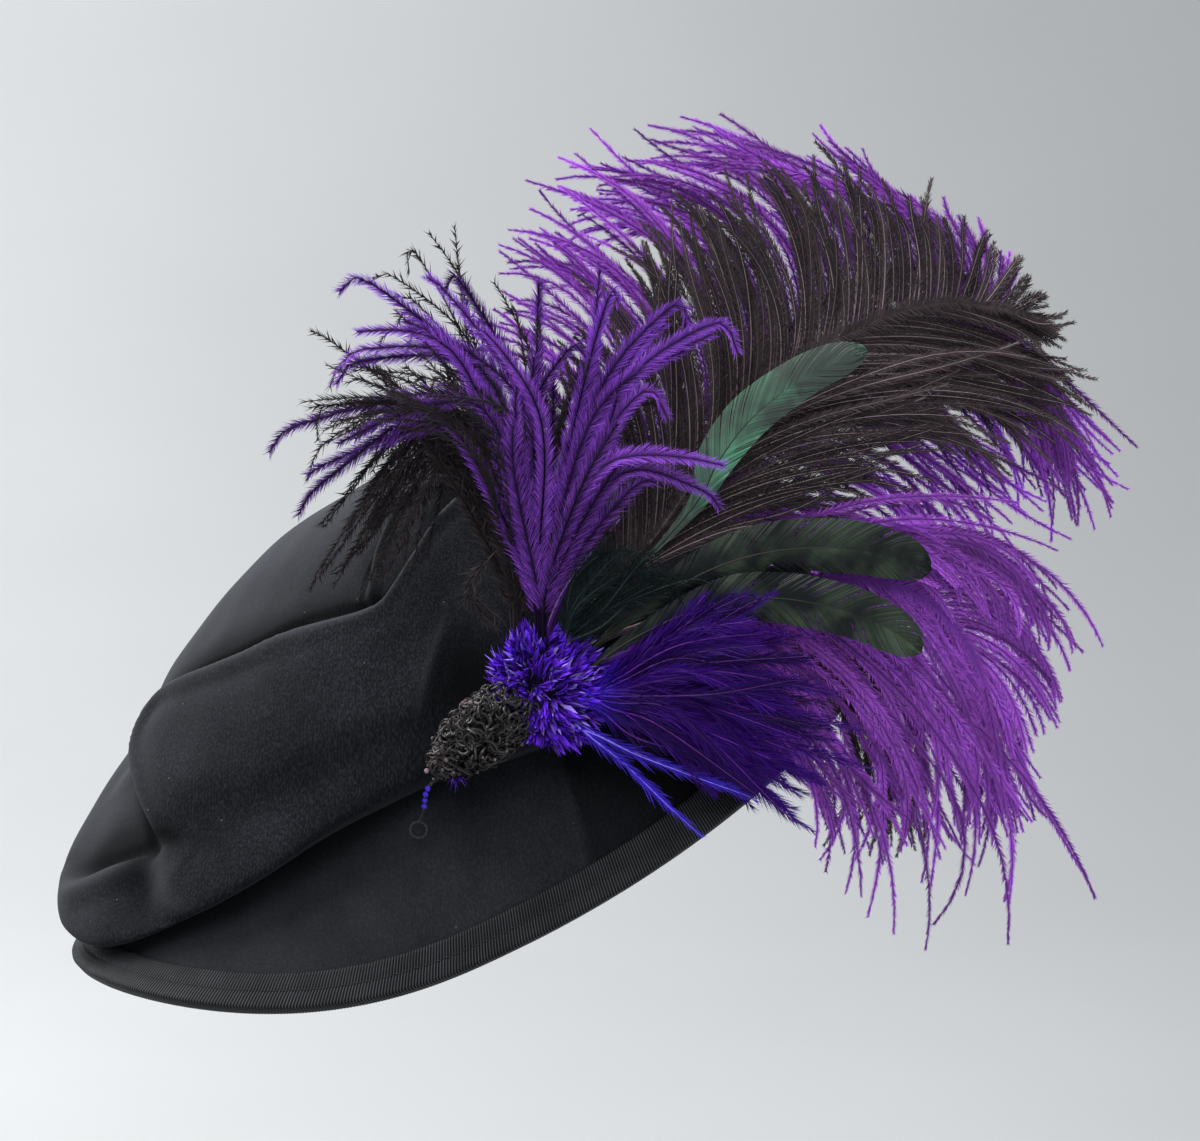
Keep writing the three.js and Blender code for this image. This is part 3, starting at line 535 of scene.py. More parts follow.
def along_column(column, share):
    """A column whose rows run from one end to the other."""
    column = np.asarray(column, float)
    last = len(column) - 1
    place = np.clip(share, 0, 1) * last
    row = np.minimum(np.floor(place).astype(int), last - 1)
    a, b, c, d = (column[np.clip(row + step, 0, last)] for step in (-1, 0, 1, 2))
    return catmull(a, b, c, d, place - row)


def curve_through(rows, count):
    """Evenly spaced points on the smooth curve through rows, whatever columns they hold."""
    rows = np.asarray(rows, float)
    fine = np.stack([along_column(rows[:, k], np.linspace(0, 1, 60 * len(rows)))
                     for k in range(rows.shape[1])], -1)
    steps = np.linalg.norm(np.diff(fine[:, :3], axis=0), axis=1)
    reach = np.concatenate([[0], np.cumsum(steps)])
    wanted = np.linspace(0, reach[-1], count)
    return np.stack([np.interp(wanted, reach, fine[:, k]) for k in range(rows.shape[1])], -1)


# Meshes


class Bundle:
    """The points and triangles of one piece, gathered from its many small parts."""

    def __init__(self):
        self.points, self.faces, self.places, self.marks = [], [], [], []
        self.count = 0

    def add(self, points, faces, places, marks):
        """Adds a part: its points, triangles, places on the bake map, and marks for its material."""
        points = np.asarray(points, float).reshape(-1, 3)
        self.points.append(points)
        self.faces.append(np.asarray(faces, int).reshape(-1, 3) + self.count)
        self.places.append(np.broadcast_to(np.asarray(places, float), (len(points), 2)))
        self.marks.append(np.broadcast_to(np.asarray(marks, float), (len(points), 3)))
        self.count += len(points)

    def piece(self, name, placed, material, smooth=True):
        """The finished object. Placed turns the piece's own points into the part's frame."""
        points = placed(np.concatenate(self.points))
        faces = np.concatenate(self.faces)
        mesh = bpy.data.meshes.new(name)
        mesh.vertices.add(len(points))
        mesh.vertices.foreach_set("co", points.astype(np.float32).ravel())
        mesh.loops.add(len(faces) * 3)
        mesh.loops.foreach_set("vertex_index", faces.astype(np.int32).ravel())
        mesh.polygons.add(len(faces))
        mesh.polygons.foreach_set("loop_start", np.arange(0, len(faces) * 3, 3, dtype=np.int32))
        mesh.polygons.foreach_set("use_smooth", np.full(len(faces), smooth))
        places = mesh.uv_layers.new(name=BAKE_MAP)
        corners = np.concatenate(self.places)[faces.ravel()]
        places.uv.foreach_set("vector", corners.astype(np.float32).ravel())
        marks = mesh.attributes.new(MARKS, "FLOAT_VECTOR", "POINT")
        marks.data.foreach_set("vector", np.concatenate(self.marks).astype(np.float32).ravel())
        mesh.update(calc_edges=True)
        mesh.validate()
        mesh.materials.append(material)
        made = bpy.data.objects.new(name, mesh)
        bpy.context.scene.collection.objects.link(made)
        return made


def grid_faces(rows, columns, closed=False):
    """Triangles of a grid of points, row after row, closed round its rows if asked."""
    across = np.arange(rows if closed else rows - 1)
    up = np.arange(columns - 1)
    i, j = (x.ravel() for x in np.meshgrid(across, up, indexing="ij"))
    a, b = i * columns + j, i * columns + j + 1
    d, c = (i + 1) % rows * columns + j, (i + 1) % rows * columns + j + 1
    return np.concatenate([np.stack([a, d, c], -1), np.stack([a, c, b], -1)])


def grid_places(rows, columns, across=(0, 1), up=(0, 1)):
    """Places on the bake map for a grid of points, row after row."""
    u, v = np.meshgrid(np.linspace(*across, rows), np.linspace(*up, columns), indexing="ij")
    return np.stack([u, v], -1).reshape(-1, 2)


def ball_points(rows, columns, pole):
    """A unit ball as columns of points from its top down, left open by an angle at both poles."""
    tall, turn = np.meshgrid(np.linspace(pole, np.pi - pole, rows),
                             np.linspace(0, 2 * np.pi, columns, endpoint=False), indexing="ij")
    ball = np.stack([np.sin(tall) * np.cos(turn), np.sin(tall) * np.sin(turn), np.cos(tall)], -1)
    return np.swapaxes(ball, 0, 1)


def tubes(paths, radii, sides, facing=(0, 1, 0)):
    """Points and triangles of a round strand along each path, all with as many points."""
    paths = np.asarray(paths, float)
    count, steps = paths.shape[:2]
    radii = np.broadcast_to(radii, (count, steps))
    ahead = unit(np.gradient(paths, axis=1))
    side = unit(np.cross(ahead, np.broadcast_to(facing, ahead.shape)) + 1e-6)
    up = np.cross(side, ahead)
    turn = np.arange(sides) * 2 * np.pi / sides
    ring = (np.cos(turn)[:, None] * side[:, :, None] + np.sin(turn)[:, None] * up[:, :, None])
    points = paths[:, :, None] + radii[:, :, None, None] * ring
    one = np.arange(steps - 1)[:, None] * sides + np.arange(sides)
    beside = np.arange(steps - 1)[:, None] * sides + (np.arange(sides) + 1) % sides
    quads = np.concatenate([np.stack([one, one + sides, beside + sides], -1).reshape(-1, 3),
                            np.stack([one, beside + sides, beside], -1).reshape(-1, 3)])
    ends = []
    for start, turned in ((0, 1), ((steps - 1) * sides, 0)):
        for k in range(1, sides - 1):
            ends.append([start, start + k + 1 - turned, start + k + turned])
    one_strand = np.concatenate([quads, np.array(ends)])
    starts = np.arange(count) * steps * sides
    return points.reshape(-1, 3), (one_strand[None] + starts[:, None, None]).reshape(-1, 3)


def add_strands(bundle, paths, radii, sides, marks, facing=(0, 1, 0)):
    """Adds strands to a bundle, each on its own row of the bake map."""
    paths = np.asarray(paths, float)
    count, steps = paths.shape[:2]
    points, faces = tubes(paths, radii, sides, facing)
    along = np.repeat(np.tile(np.linspace(0.01, 0.99, steps), count), sides)
    row = (np.repeat(np.arange(count), steps * sides) + np.tile(np.linspace(0.05, 0.25, sides),
                                                                count * steps)) / count
    marks = np.repeat(np.asarray(marks, float).reshape(count, 3), steps * sides, axis=0)
    bundle.add(points, faces, np.stack([along, row], -1), marks)


def add_spines(bundle, spines, rng, thick, thin, sides):
    """Adds the dark spines of barbs or fronds, each of its own tone and thinner toward its tip."""
    tone = rng.uniform(0, 1, len(spines))
    marks = np.stack([tone, 0 * tone, 1 + 0 * tone], -1)
    add_strands(bundle, spines, np.linspace(thick, thin, spines.shape[1])[None], sides, marks)


def add_barbules(bundle, spines, rng, size):
    """Adds a fringe of fine barbules on both sides of each spine.

    Size holds their length, width, spacing, slant and spread, how far the fringe's plane may tilt, and
    the shares of the length that they keep at the spine's start and end.
    """
    size = {**FRINGE, **size}
    first = size["first"]
    count, steps = spines.shape[:2]
    lengths = np.linalg.norm(np.diff(spines, axis=1), axis=2).sum(1)
    rows, shares = [], []
    for i, length in enumerate(lengths):
        number = max(int(length / size["spacing"]), 2)
        shares.append(first + (1 - first) * (np.arange(number) + rng.uniform(0, 0.8, number)) / number)
        rows.append(np.full(number, i))
    rows, shares = np.concatenate(rows), np.clip(np.concatenate(shares), 0, 0.999)
    tone = rng.uniform(0, 1, count)[rows]
    tone = np.clip(tone + size["uneven"] * np.sin(2.4 * np.arange(len(rows))), 0, 1)
    facing = unit(np.array([0.0, 1.0, 0.0]) + rng.normal(0, size["tilt"], (count, 3)))
    place = shares * (steps - 1)
    step = np.minimum(place.astype(int), steps - 2)
    part = (place - step)[:, None]
    ahead = unit(np.gradient(spines, axis=1))
    number = len(rows)
    for way in (-1, 1):
        root = spines[rows, step] * (1 - part) + spines[rows, step + 1] * part
        along = unit(ahead[rows, step] * (1 - part) + ahead[rows, step + 1] * part)
        side = unit(np.cross(along, facing[rows]))
        up = np.cross(side, along)
        lift = np.radians(rng.normal(0, size["spread"], number))[:, None]
        side = way * (np.cos(lift) * side + np.sin(lift) * up)
        slant = np.radians(size["slant"] + rng.normal(0, size["loose"], number))[:, None]
        # Barbules are longest from an eighth to three quarters of the way along
        swell = np.interp(shares, [0, 0.12, 0.75, 1], [size["start"], 1, 0.95, size["end"]])
        length = (size["length"] * swell * rng.uniform(size["short"], 1.08, number))[:, None]
        half = size["width"] * 0.5 * rng.uniform(0.75, 1.25, number)[:, None]
        tip = root + length * (np.cos(slant) * along + np.sin(slant) * side)
        points = np.stack([root - along * half, root + along * half, tip], 1)
        faces = np.arange(number * 3).reshape(-1, 3)
        if way > 0:
            faces = faces[:, ::-1]
        # On the bake map each spine has a row, and each of its sides a half of that row
        width = 0.35 * size["width"] / np.maximum(lengths[rows], 1)
        u = np.stack([shares - width, shares + width, shares + 2 * width], -1).clip(0.002, 0.998)
        low = 0.3 if way < 0 else 0.65
        v = (rows[:, None] + np.array([low, low, low + 0.3])) / count
        fade = np.full(number * 3, size["fade"])
        marks = np.stack([np.repeat(tone, 3), np.tile([0.0, 0.0, 1.0], number), fade], -1)
        bundle.add(points, faces, np.stack([u, v], -1).reshape(-1, 2), marks)
        # The second side is a little lighter than the first
        tone = np.clip(tone + 0.04, 0, 1)


# The hat's surfaces


def head_line(angle):
    """How far the edge of the head opening lies from its middle."""
    return HEAD_LONG * np.cos(angle) ** 2 + HEAD_WIDE * np.sin(angle) ** 2


def brim_point(angle, share, lift):
    """A point of the brim: its share of the width, and its height over the cloth."""
    width = round_column(BRIM["width"], angle)
    droop = np.radians(round_column(BRIM["droop"], angle))
    out = share * width
    reach = head_line(angle) + out * np.cos(droop) + lift * np.sin(droop)
    rise = lift * np.cos(droop) - out * np.sin(droop)
    return np.stack(np.broadcast_arrays(reach * np.sin(angle), -reach * np.cos(angle), rise), -1)


def spill_at(angle):
    """How much of the full spill over the brim the cloth has at a bearing."""
    off = np.mod(angle - math.radians(SPILL["middle"]) + np.pi, 2 * np.pi) - np.pi
    spread = np.radians(np.where(off > 0, SPILL["left"], SPILL["right"]))
    return np.exp(-((off / spread) ** 2))


def crown_point(angle, share):
    """A point of the drape before its folds, by its bearing and its level."""
    ahead = np.cos(angle) ** 2
    level = {column: along_column(rows, share) for column, rows in DRAPE.items()}
    end = np.where(np.cos(angle) > 0, level["front"], level["back"])
    spill = spill_at(angle)
    reach = np.maximum(ahead * end + (1 - ahead) * level["side"] + spill * level["spill"], 0)
    rise = level["rise"] - spill * level["drop"] - level["sink"] * (1 - np.cos(angle)) * 0.5
    return np.stack([reach * np.sin(angle), -reach * np.cos(angle), rise], -1)


def crown_normal(angle, share, step=0.01):
    """The way out of the drape, taken from points a small step apart and kept clear of the top."""
    middle = np.minimum(share, 0.985)
    higher, lower = np.minimum(0.99, share + step), np.maximum(0, share - step)
    up = crown_point(angle, higher) - crown_point(angle, lower)
    across = crown_point(angle + step, middle) - crown_point(angle - step, middle)
    return unit(np.cross(across, up))


def fold_fields(angle, share):
    """For each fold, how far every point of the crown lies from it, on which side, and how far along."""
    bearing = np.mod(np.degrees(angle) + 180, 360) - 180
    here = np.stack([bearing * PER_DEGREE, share * PER_LEVEL], -1)
    for fold in FOLDS:
        rows = [(b * PER_DEGREE, s * PER_LEVEL, 0) for b, s in fold["points"]]
        path = curve_through(rows, 6 * len(rows))[:, :2]
        nearest, sign, along = np.full(angle.shape, 1e9), np.ones(angle.shape), np.zeros(angle.shape)
        for k, (a, b) in enumerate(zip(path[:-1], path[1:])):
            run, start = b - a, here - a
            part = np.clip(start @ run / (run @ run), 0, 1)
            gap = np.linalg.norm(start - part[..., None] * run, axis=-1)
            closer = gap < nearest
            sign = np.where(closer, run[0] * start[..., 1] - run[1] * start[..., 0], sign)
            along = np.where(closer, (k + part) / (len(path) - 1), along)
            nearest = np.where(closer, gap, nearest)
        yield fold, nearest, sign, along


def soften(field, reach):
    """A field on the crown's grid, blurred by a bell whose reach is in steps of the grid."""
    step = np.arange(-int(3 * reach), int(3 * reach) + 1)
    bell = np.exp(-0.5 * (step / reach) ** 2)
    bell /= bell.sum()
    around = sum(w * np.roll(field, k, axis=0) for k, w in zip(step, bell))
    edge = len(step) // 2
    tall = np.pad(around, ((0, 0), (edge, edge)), mode="edge")
    return sum(w * tall[:, edge + k:edge + k + field.shape[1]] for k, w in zip(step, bell))


def fold_lift(angle, share, depth):
    """How far the folds raise the cloth, and its marks: painted groove shade and painted edge highlights.

    The groove lies just past the steep side, and its painted shadow reaches further the deeper it is.
    Near a fold the lift is kept sharp, and away from all of them it is blurred.
    """
    raised, sunk, near, dark, edge = (np.zeros(angle.shape) for _ in range(5))
    for fold, nearest, sign, along in fold_fields(angle, share):
        width = np.where(sign > 0, fold["steep"], fold["gentle"])
        height, deep = along_column(fold["height"], along), along_column(fold["groove"], along)
        raised = np.maximum(raised, height * np.exp(-((nearest / width) ** 2)))
        middle, narrow = 1.9 * fold["steep"], 0.9 * fold["steep"]
        groove = deep * depth * np.exp(-(((nearest - middle) / narrow) ** 2))
        sunk = np.maximum(sunk, np.where(sign > 0, groove, 0))
        near = np.maximum(near, np.exp(-((nearest / 5.0) ** 4)))
        reach = (1.5 + 0.42 * deep) * fold["steep"]
        shadow = np.exp(-(((nearest - reach) / reach) ** 2))
        # Painted shade behind the steep side, wider and darker the deeper the groove
        dark = np.maximum(dark, np.where(sign > 0, shadow * np.clip(deep / 3, 0, 1), 0))
        # A painted highlight along the edge of each fold, stronger where the fold stands higher
        edge = np.maximum(edge, np.exp(-((nearest / 1.3) ** 2)) * np.clip(height / 4, 0, 1))
    lift = raised - sunk
    lift = near * soften(lift, 0.7) + (1 - near) * soften(lift, 4.5)
    # The crown's marks are the painted shade, the painted highlight, and nought
    return lift, np.stack([soften(dark, 1.0), edge, 0 * edge], -1)


def soft_waves(points, seed, longest, height):
    """Gentle unevenness of cloth at each point: a few waves that cross at all angles."""
    rng = np.random.default_rng(seed)
    total = np.zeros(points.shape[:-1])
    for k in range(WAVES["number"]):
        way, phase = unit(rng.normal(0, 1, 3)), rng.uniform(0, 2 * np.pi)
        span = longest * WAVES["shorter"] ** k
        total += WAVES["lower"] ** k * np.sin(2 * np.pi * (points @ way) / span + phase)
    return height * total / WAVES["together"]


def crown_raise(angle, share, sizes):
    """The folds and the soft unevenness of the crown's cloth, which fade out at its hem and its top."""
    raised, marks = fold_lift(angle, share, sizes.groove_depth)
    fade = np.clip(share * 12, 0, 1) * np.clip((1 - share) * 8, 0, 1)
    height = sizes.cloth_waves / MM
    raised += fade * soft_waves(crown_point(angle, share), seed=7, longest=62, height=height)
    return raised * np.clip((1 - share) * 40, 0, 1), marks


def crown_angle(turn):
    """The bearing of a section of the crown. Sections lie closest where most of the folds are."""
    return turn - 0.45 * np.sin(turn - math.radians(15))


def close_ring(rows):
    """An array of turns by points with its first row and column repeated at the end."""
    rows = np.concatenate([rows, rows[:, :1]], 1)
    return np.concatenate([rows, rows[:1]], 0)


def section_piece(name, sections, material, marks):
    """A closed ring of closed sections, given as an array of turns by points."""
    turns, size = sections.shape[:2]
    bundle = Bundle()
    bundle.add(close_ring(sections), grid_faces(turns + 1, size + 1), grid_places(turns + 1, size + 1),
               close_ring(marks).reshape(-1, 3))
    made = bundle.piece(name, hat_points, material)
    weld(made)
    return made


def weld(made, reach=1e-6):
    """Joins the doubled points where a ring of sections closes, and turns all faces outward."""
    shape = bmesh.new()
    shape.from_mesh(made.data)
    bmesh.ops.remove_doubles(shape, verts=shape.verts, dist=reach)
    bmesh.ops.recalc_face_normals(shape, faces=shape.faces)
    shape.to_mesh(made.data)
    shape.free()


# Materials


class Shade:
    """A material or a node group in the making."""

    def __init__(self, tree):
        self.tree = tree

    def node(self, kind, **settings):
        """A new node with its settings."""
        made = self.tree.nodes.new(kind)
        for key, value in settings.items():
            setattr(made, key, value)
        return made

    def join(self, source, target):
        """Links one socket to another."""
        self.tree.links.new(source, target)

    def feed(self, target, value):
        """Links a socket into the target, or sets the target to a plain value."""
        if isinstance(value, bpy.types.NodeSocket):
            self.join(value, target)
        elif hasattr(value, "__len__") and len(value) == 3 and target.type == "RGBA":
            target.default_value = (*value, 1)
        else:
            target.default_value = value

    def maths(self, operation, a, b=0.0, clamp=False):
        """A sum of two values, or whatever else the operation makes of them."""
        made = self.node("ShaderNodeMath", operation=operation, use_clamp=clamp)
        self.feed(made.inputs[0], a)
        self.feed(made.inputs[1], b)
        return made.outputs[0]

    def mix(self, share, a, b, blend="MIX"):
        """Two colours mixed by a share of the second."""
        made = self.node("ShaderNodeMix", data_type="RGBA", blend_type=blend)
        self.feed(made.inputs[0], share)
        self.feed(made.inputs[6], a)
        self.feed(made.inputs[7], b)
        return made.outputs[2]

    def noise(self, vector, scale, detail=3.0, rough=0.55):
        """Smooth noise over a place."""
        made = self.node("ShaderNodeTexNoise")
        self.feed(made.inputs["Vector"], vector)
        self.feed(made.inputs["Scale"], scale)
        made.inputs["Detail"].default_value = detail
        made.inputs["Roughness"].default_value = rough
        return made.outputs["Fac"]

    def span(self, value, low, high, to_low=0.0, to_high=1.0):
        """A value stretched from one range to another, and held at its ends."""
        made = self.node("ShaderNodeMapRange")
        for target, given in zip(made.inputs[:5], (value, low, high, to_low, to_high)):
            self.feed(target, given)
        return made.outputs[0]

    def tinted(self, colour, tone):
        """A colour made lighter or darker by a tone."""
        grey = self.node("ShaderNodeCombineXYZ")
        for target in grey.inputs:
            self.feed(target, tone)
        return self.mix(1.0, colour, grey.outputs[0], "MULTIPLY")

    def marks(self):
        """The three marks of each point."""
        parts = self.node("ShaderNodeSeparateXYZ")
        source = self.node("ShaderNodeAttribute", attribute_name=MARKS)
        self.join(source.outputs["Vector"], parts.inputs[0])
        return parts.outputs

    def place(self):
        """The place of each point on the object."""
        return self.node("ShaderNodeTexCoord").outputs["Object"]

    def group(self, name, **values):
        """The outputs of a node group, built when it is first placed, and fed with its values."""
        if name not in bpy.data.node_groups:
            NODE_GROUPS[name]()
        made = self.node("ShaderNodeGroup", node_tree=bpy.data.node_groups[name])
        for key, value in values.items():
            self.feed(made.inputs[key.capitalize()], value)
        return made.outputs


def new_group(name, inputs, outputs):
    """An empty node group with named sockets, ready to fill."""
    tree = bpy.data.node_groups.new(name, "ShaderNodeTree")
    for label, kind, default in inputs:
        socket = tree.interface.new_socket(name=label, in_out="INPUT", socket_type=kind)
        if default is not None:
            socket.default_value = default
    for label, kind in outputs:
        tree.interface.new_socket(name=label, in_out="OUTPUT", socket_type=kind)
    shade = Shade(tree)
    return shade, shade.node("NodeGroupInput").outputs, shade.node("NodeGroupOutput").inputs


def build_mottle():
    """Uneven dye: a tone that wanders slowly round one."""
    shade, given, made = new_group(
        "Uneven dye",
        [("Vector", "NodeSocketVector", None), ("Scale", "NodeSocketFloat", 40.0),
         ("Contrast", "NodeSocketFloat", 0.2)],
        [("Tone", "NodeSocketFloat")],
    )
    noise = shade.noise(given["Vector"], given["Scale"], 4)
    low = shade.maths("SUBTRACT", 1, given["Contrast"])
    high = shade.maths("ADD", 1, given["Contrast"])
    shade.join(shade.span(noise, 0.3, 0.7, low, high), made["Tone"])


def build_pile():
    """Short fibres that stand up: a height, and a fleck that follows it."""
    shade, given, made = new_group(
        "Short pile",
        [("Vector", "NodeSocketVector", None), ("Scale", "NodeSocketFloat", 2600.0)],
        [("Height", "NodeSocketFloat"), ("Fleck", "NodeSocketFloat")],
    )
    fine = shade.noise(given["Vector"], given["Scale"], 2, 0.7)
    coarse = shade.noise(given["Vector"], shade.maths("MULTIPLY", given["Scale"], 0.22), 3)
    height = shade.maths("ADD", fine, shade.maths("MULTIPLY", coarse, 0.8))
    shade.join(height, made["Height"])
    shade.join(shade.span(fine, 0.44, 0.76, 0, 1), made["Fleck"])


def build_ribs():
    """The faint upright ribs of the velvet's ground cloth."""
    shade, given, made = new_group(
        "Cloth ribs",
        [("Vector", "NodeSocketVector", None), ("Pitch", "NodeSocketFloat", 0.001)],
        [("Height", "NodeSocketFloat")],
    )
    turn = math.radians(SPRAY_TURN)
    across = shade.node("ShaderNodeVectorMath", operation="DOT_PRODUCT")
    shade.join(given["Vector"], across.inputs[0])
    across.inputs[1].default_value = (math.cos(turn), math.sin(turn), 0.0)
    drift = shade.maths("MULTIPLY", shade.noise(given["Vector"], 260.0, 2), 1.1)
    place = shade.maths("DIVIDE", across.outputs["Value"], given["Pitch"])
    wave = shade.maths("SINE", shade.maths("MULTIPLY", shade.maths("ADD", place, drift), 2 * math.pi))
    shade.join(shade.span(wave, -1, 1), made["Height"])


def build_lint():
    """A few pale specks of lint, as a mask."""
    shade, given, made = new_group(
        "Lint",
        [("Vector", "NodeSocketVector", None), ("Scale", "NodeSocketFloat", 130.0),
         ("Amount", "NodeSocketFloat", 0.05)],
        [("Mask", "NodeSocketFloat")],
    )
    cells = shade.node("ShaderNodeTexVoronoi", feature="F1")
    shade.join(given["Vector"], cells.inputs["Vector"])
    shade.join(given["Scale"], cells.inputs["Scale"])
    near = shade.maths("LESS_THAN", cells.outputs["Distance"], given["Amount"])
    shade.join(near, made["Mask"])


def build_flue_tone():
    """The colour of a barb: its root, its tips and its spine, each barb a little apart."""
    shade, given, made = new_group(
        "Flue tone",
        [("Root", "NodeSocketColor", (0.1, 0.1, 0.1, 1)), ("Tip", "NodeSocketColor", (0.3, 0.3, 0.3, 1)),
         ("Spine", "NodeSocketColor", (0.05, 0.05, 0.05, 1)), ("Variation", "NodeSocketFloat", 0.35)],
        [("Colour", "NodeSocketColor")],
    )
    tone, reach, spine = shade.marks()
    low = shade.maths("SUBTRACT", 1, given["Variation"])
    high = shade.maths("ADD", 1, given["Variation"])
    colour = shade.mix(reach, given["Root"], given["Tip"])
    colour = shade.mix(spine, colour, given["Spine"])
    shade.join(shade.tinted(colour, shade.span(tone, 0, 1, low, high)), made["Colour"])


NODE_GROUPS = {
    "Uneven dye": build_mottle,
    "Short pile": build_pile,
    "Cloth ribs": build_ribs,
    "Lint": build_lint,
    "Flue tone": build_flue_tone,
}


def new_material(name):
    """A material with its principled shader, and the shade that fills it."""
    material = bpy.data.materials.new(name)
    material.use_nodes = True
    shade = Shade(material.node_tree)
    return material, shade, material.node_tree.nodes["Principled BSDF"]


def set_even(shader, values):
    """Sets what is the same all over a surface, on the shader's own sockets."""
    for name, value in values.items():
        shader.inputs[name].default_value = value


def bumped(shade, shader, height, strength, distance=0.0002):
    """Raises the surface by a height, in the shading alone."""
    bump = shade.node("ShaderNodeBump")
    shade.feed(bump.inputs["Height"], height)
    bump.inputs["Strength"].default_value = strength
    bump.inputs["Distance"].default_value = distance
    shade.join(bump.outputs[0], shader.inputs["Normal"])


def velvet_material(name, colours):
    """Deep pile, faintly ribbed: painted sheen edge on and on the brim, painted highlights and shade at
    folds.
    """
    material, shade, shader = new_material(name)
    place = shade.place()
    grain = shade.node("ShaderNodeVectorMath", operation="MULTIPLY")
    shade.join(place, grain.inputs[0])
    grain.inputs[1].default_value = (1.0, 1.0, 0.42)
    pile = shade.group("Short pile", vector=grain.outputs["Vector"], scale=1500.0)
    tone = shade.group("Uneven dye", vector=place, scale=26.0, contrast=0.35)["Tone"]
    lint = shade.group("Lint", vector=place, scale=95.0, amount=0.03)["Mask"]
    ribs = shade.group("Cloth ribs", vector=place, pitch=0.0011)["Height"]
    dark, sheen = tuple(colours.velvet), tuple(colours.velvet_sheen)
    light = shaded(dark, 3.6)
    colour = shade.mix(pile["Fleck"], dark, light)
    colour = shade.mix(shade.maths("MULTIPLY", ribs, 0.1), colour, light)
    colour = shade.tinted(colour, tone)
    # Painted sheen: the pile is painted paler the more edge on it is seen, and on the brim where it is
    # marked
    edge = shade.node("ShaderNodeLayerWeight")
    edge.inputs["Blend"].default_value = 0.35
    turned = shade.span(edge.outputs["Facing"], 0.2, 0.9, 0.0, 0.8)
    # Marks: painted fold shade, or the brim's darker nap side; painted fold-edge highlight; painted brim
    # sheen
    groove, painted_highlight, painted_sheen = shade.marks()
    pale = shade.maths("ADD", turned, shade.maths("MULTIPLY", painted_sheen, tone), True)
    colour = shade.mix(pale, colour, sheen)
    # Paint the highlight on fold edges, the shade in grooves or the darker nap side, then lint
    for mask, most, over in ((painted_highlight, 0.55, sheen), (groove, 0.92, SHADE_AND_NAP_DARK), (lint, 0.6, LINT_PALE)):
        colour = shade.mix(shade.maths("MULTIPLY", mask, most), colour, over)
    shade.join(colour, shader.inputs["Base Color"])
    set_even(shader, {
        "Roughness": 0.95,
        "Specular IOR Level": 0.02,
        "Sheen Weight": 0.025,
        "Sheen Roughness": 0.6,
        "Sheen Tint": (0.8, 0.86, 0.9, 1),
    })
    height = shade.maths("ADD", pile["Height"], shade.maths("MULTIPLY", ribs, 0.14))
    bumped(shade, shader, height, 0.5, 0.0004)
    return material


def ribbon_material(name, colours):
    """Grosgrain: matt black, with a painted highlight on its ribs' tops and painted shade between them."""
    material, shade, shader = new_material(name)
    place = shade.place()
    rib, _, stitch = shade.marks()
    tone = shade.group("Uneven dye", vector=place, scale=90.0, contrast=0.25)["Tone"]
    pile = shade.group("Short pile", vector=place, scale=5200.0)
    # Rib tops get a painted highlight and the valleys between them painted shade
    top = shade.maths("MULTIPLY", shade.maths("POWER", rib, 3.5), tone)
    colour = shade.mix(top, shaded(colours.ribbon, 0.04), tuple(colours.ribbon))
    shade.join(shade.mix(stitch, colour, tuple(colours.stitch)), shader.inputs["Base Color"])
    set_even(shader, {"Roughness": 0.62, "Specular IOR Level": 0.15})
    bumped(shade, shader, pile["Height"], 0.3)
    return material


def flue_material(name, root, tip, spine, variation=0.5, roughness=0.62):
    """Feather barbs and barbules, dyed, with each barb a little lighter or darker."""
    material, shade, shader = new_material(name)
    tone = shade.group("Uneven dye", vector=shade.place(), scale=60.0, contrast=0.18)["Tone"]
    colour = shade.group("Flue tone", root=root, tip=tip, spine=spine, variation=variation)["Colour"]
    shade.join(shade.tinted(colour, tone), shader.inputs["Base Color"])
    rough = shade.span(tone, 0.8, 1.2, roughness - 0.08, roughness + 0.08)
    shade.join(rough, shader.inputs["Roughness"])
    set_even(shader, {"Specular IOR Level": 0.12})
    return material


def dyed_flue(name):
    """The finish of barbs by its name in the table of dyes."""
    *codes, variation, roughness = FLUES[name]
    return flue_material(name, *(dye(code) for code in codes), variation, roughness)


def hackle_material(name):
    """Satin hackle: blue violet by the pad, turning to deep purple toward the tips."""
    material, shade, shader = new_material(name)
    place = shade.place()
    reach = shade.node("ShaderNodeVectorMath", operation="DISTANCE")
    shade.join(place, reach.inputs[0])
    reach.inputs[1].default_value = tuple(spray_points(spray_order(PAD["at"])))
    far = shade.span(reach.outputs["Value"], *HACKLE_TURN)
    dyes = []
    for root, tip, spine, variation in HACKLE_DYES:
        given = {"root": dye(root), "tip": dye(tip), "spine": dye(spine), "variation": variation}
        dyes.append(shade.group("Flue tone", **given)["Colour"])
    shade.join(shade.mix(far, *dyes), shader.inputs["Base Color"])
    set_even(shader, {"Roughness": 0.4, "Specular IOR Level": 0.14})
    tone = shade.group("Uneven dye", vector=place, scale=700.0, contrast=0.4)["Tone"]
    bumped(shade, shader, tone, 0.2)
    return material


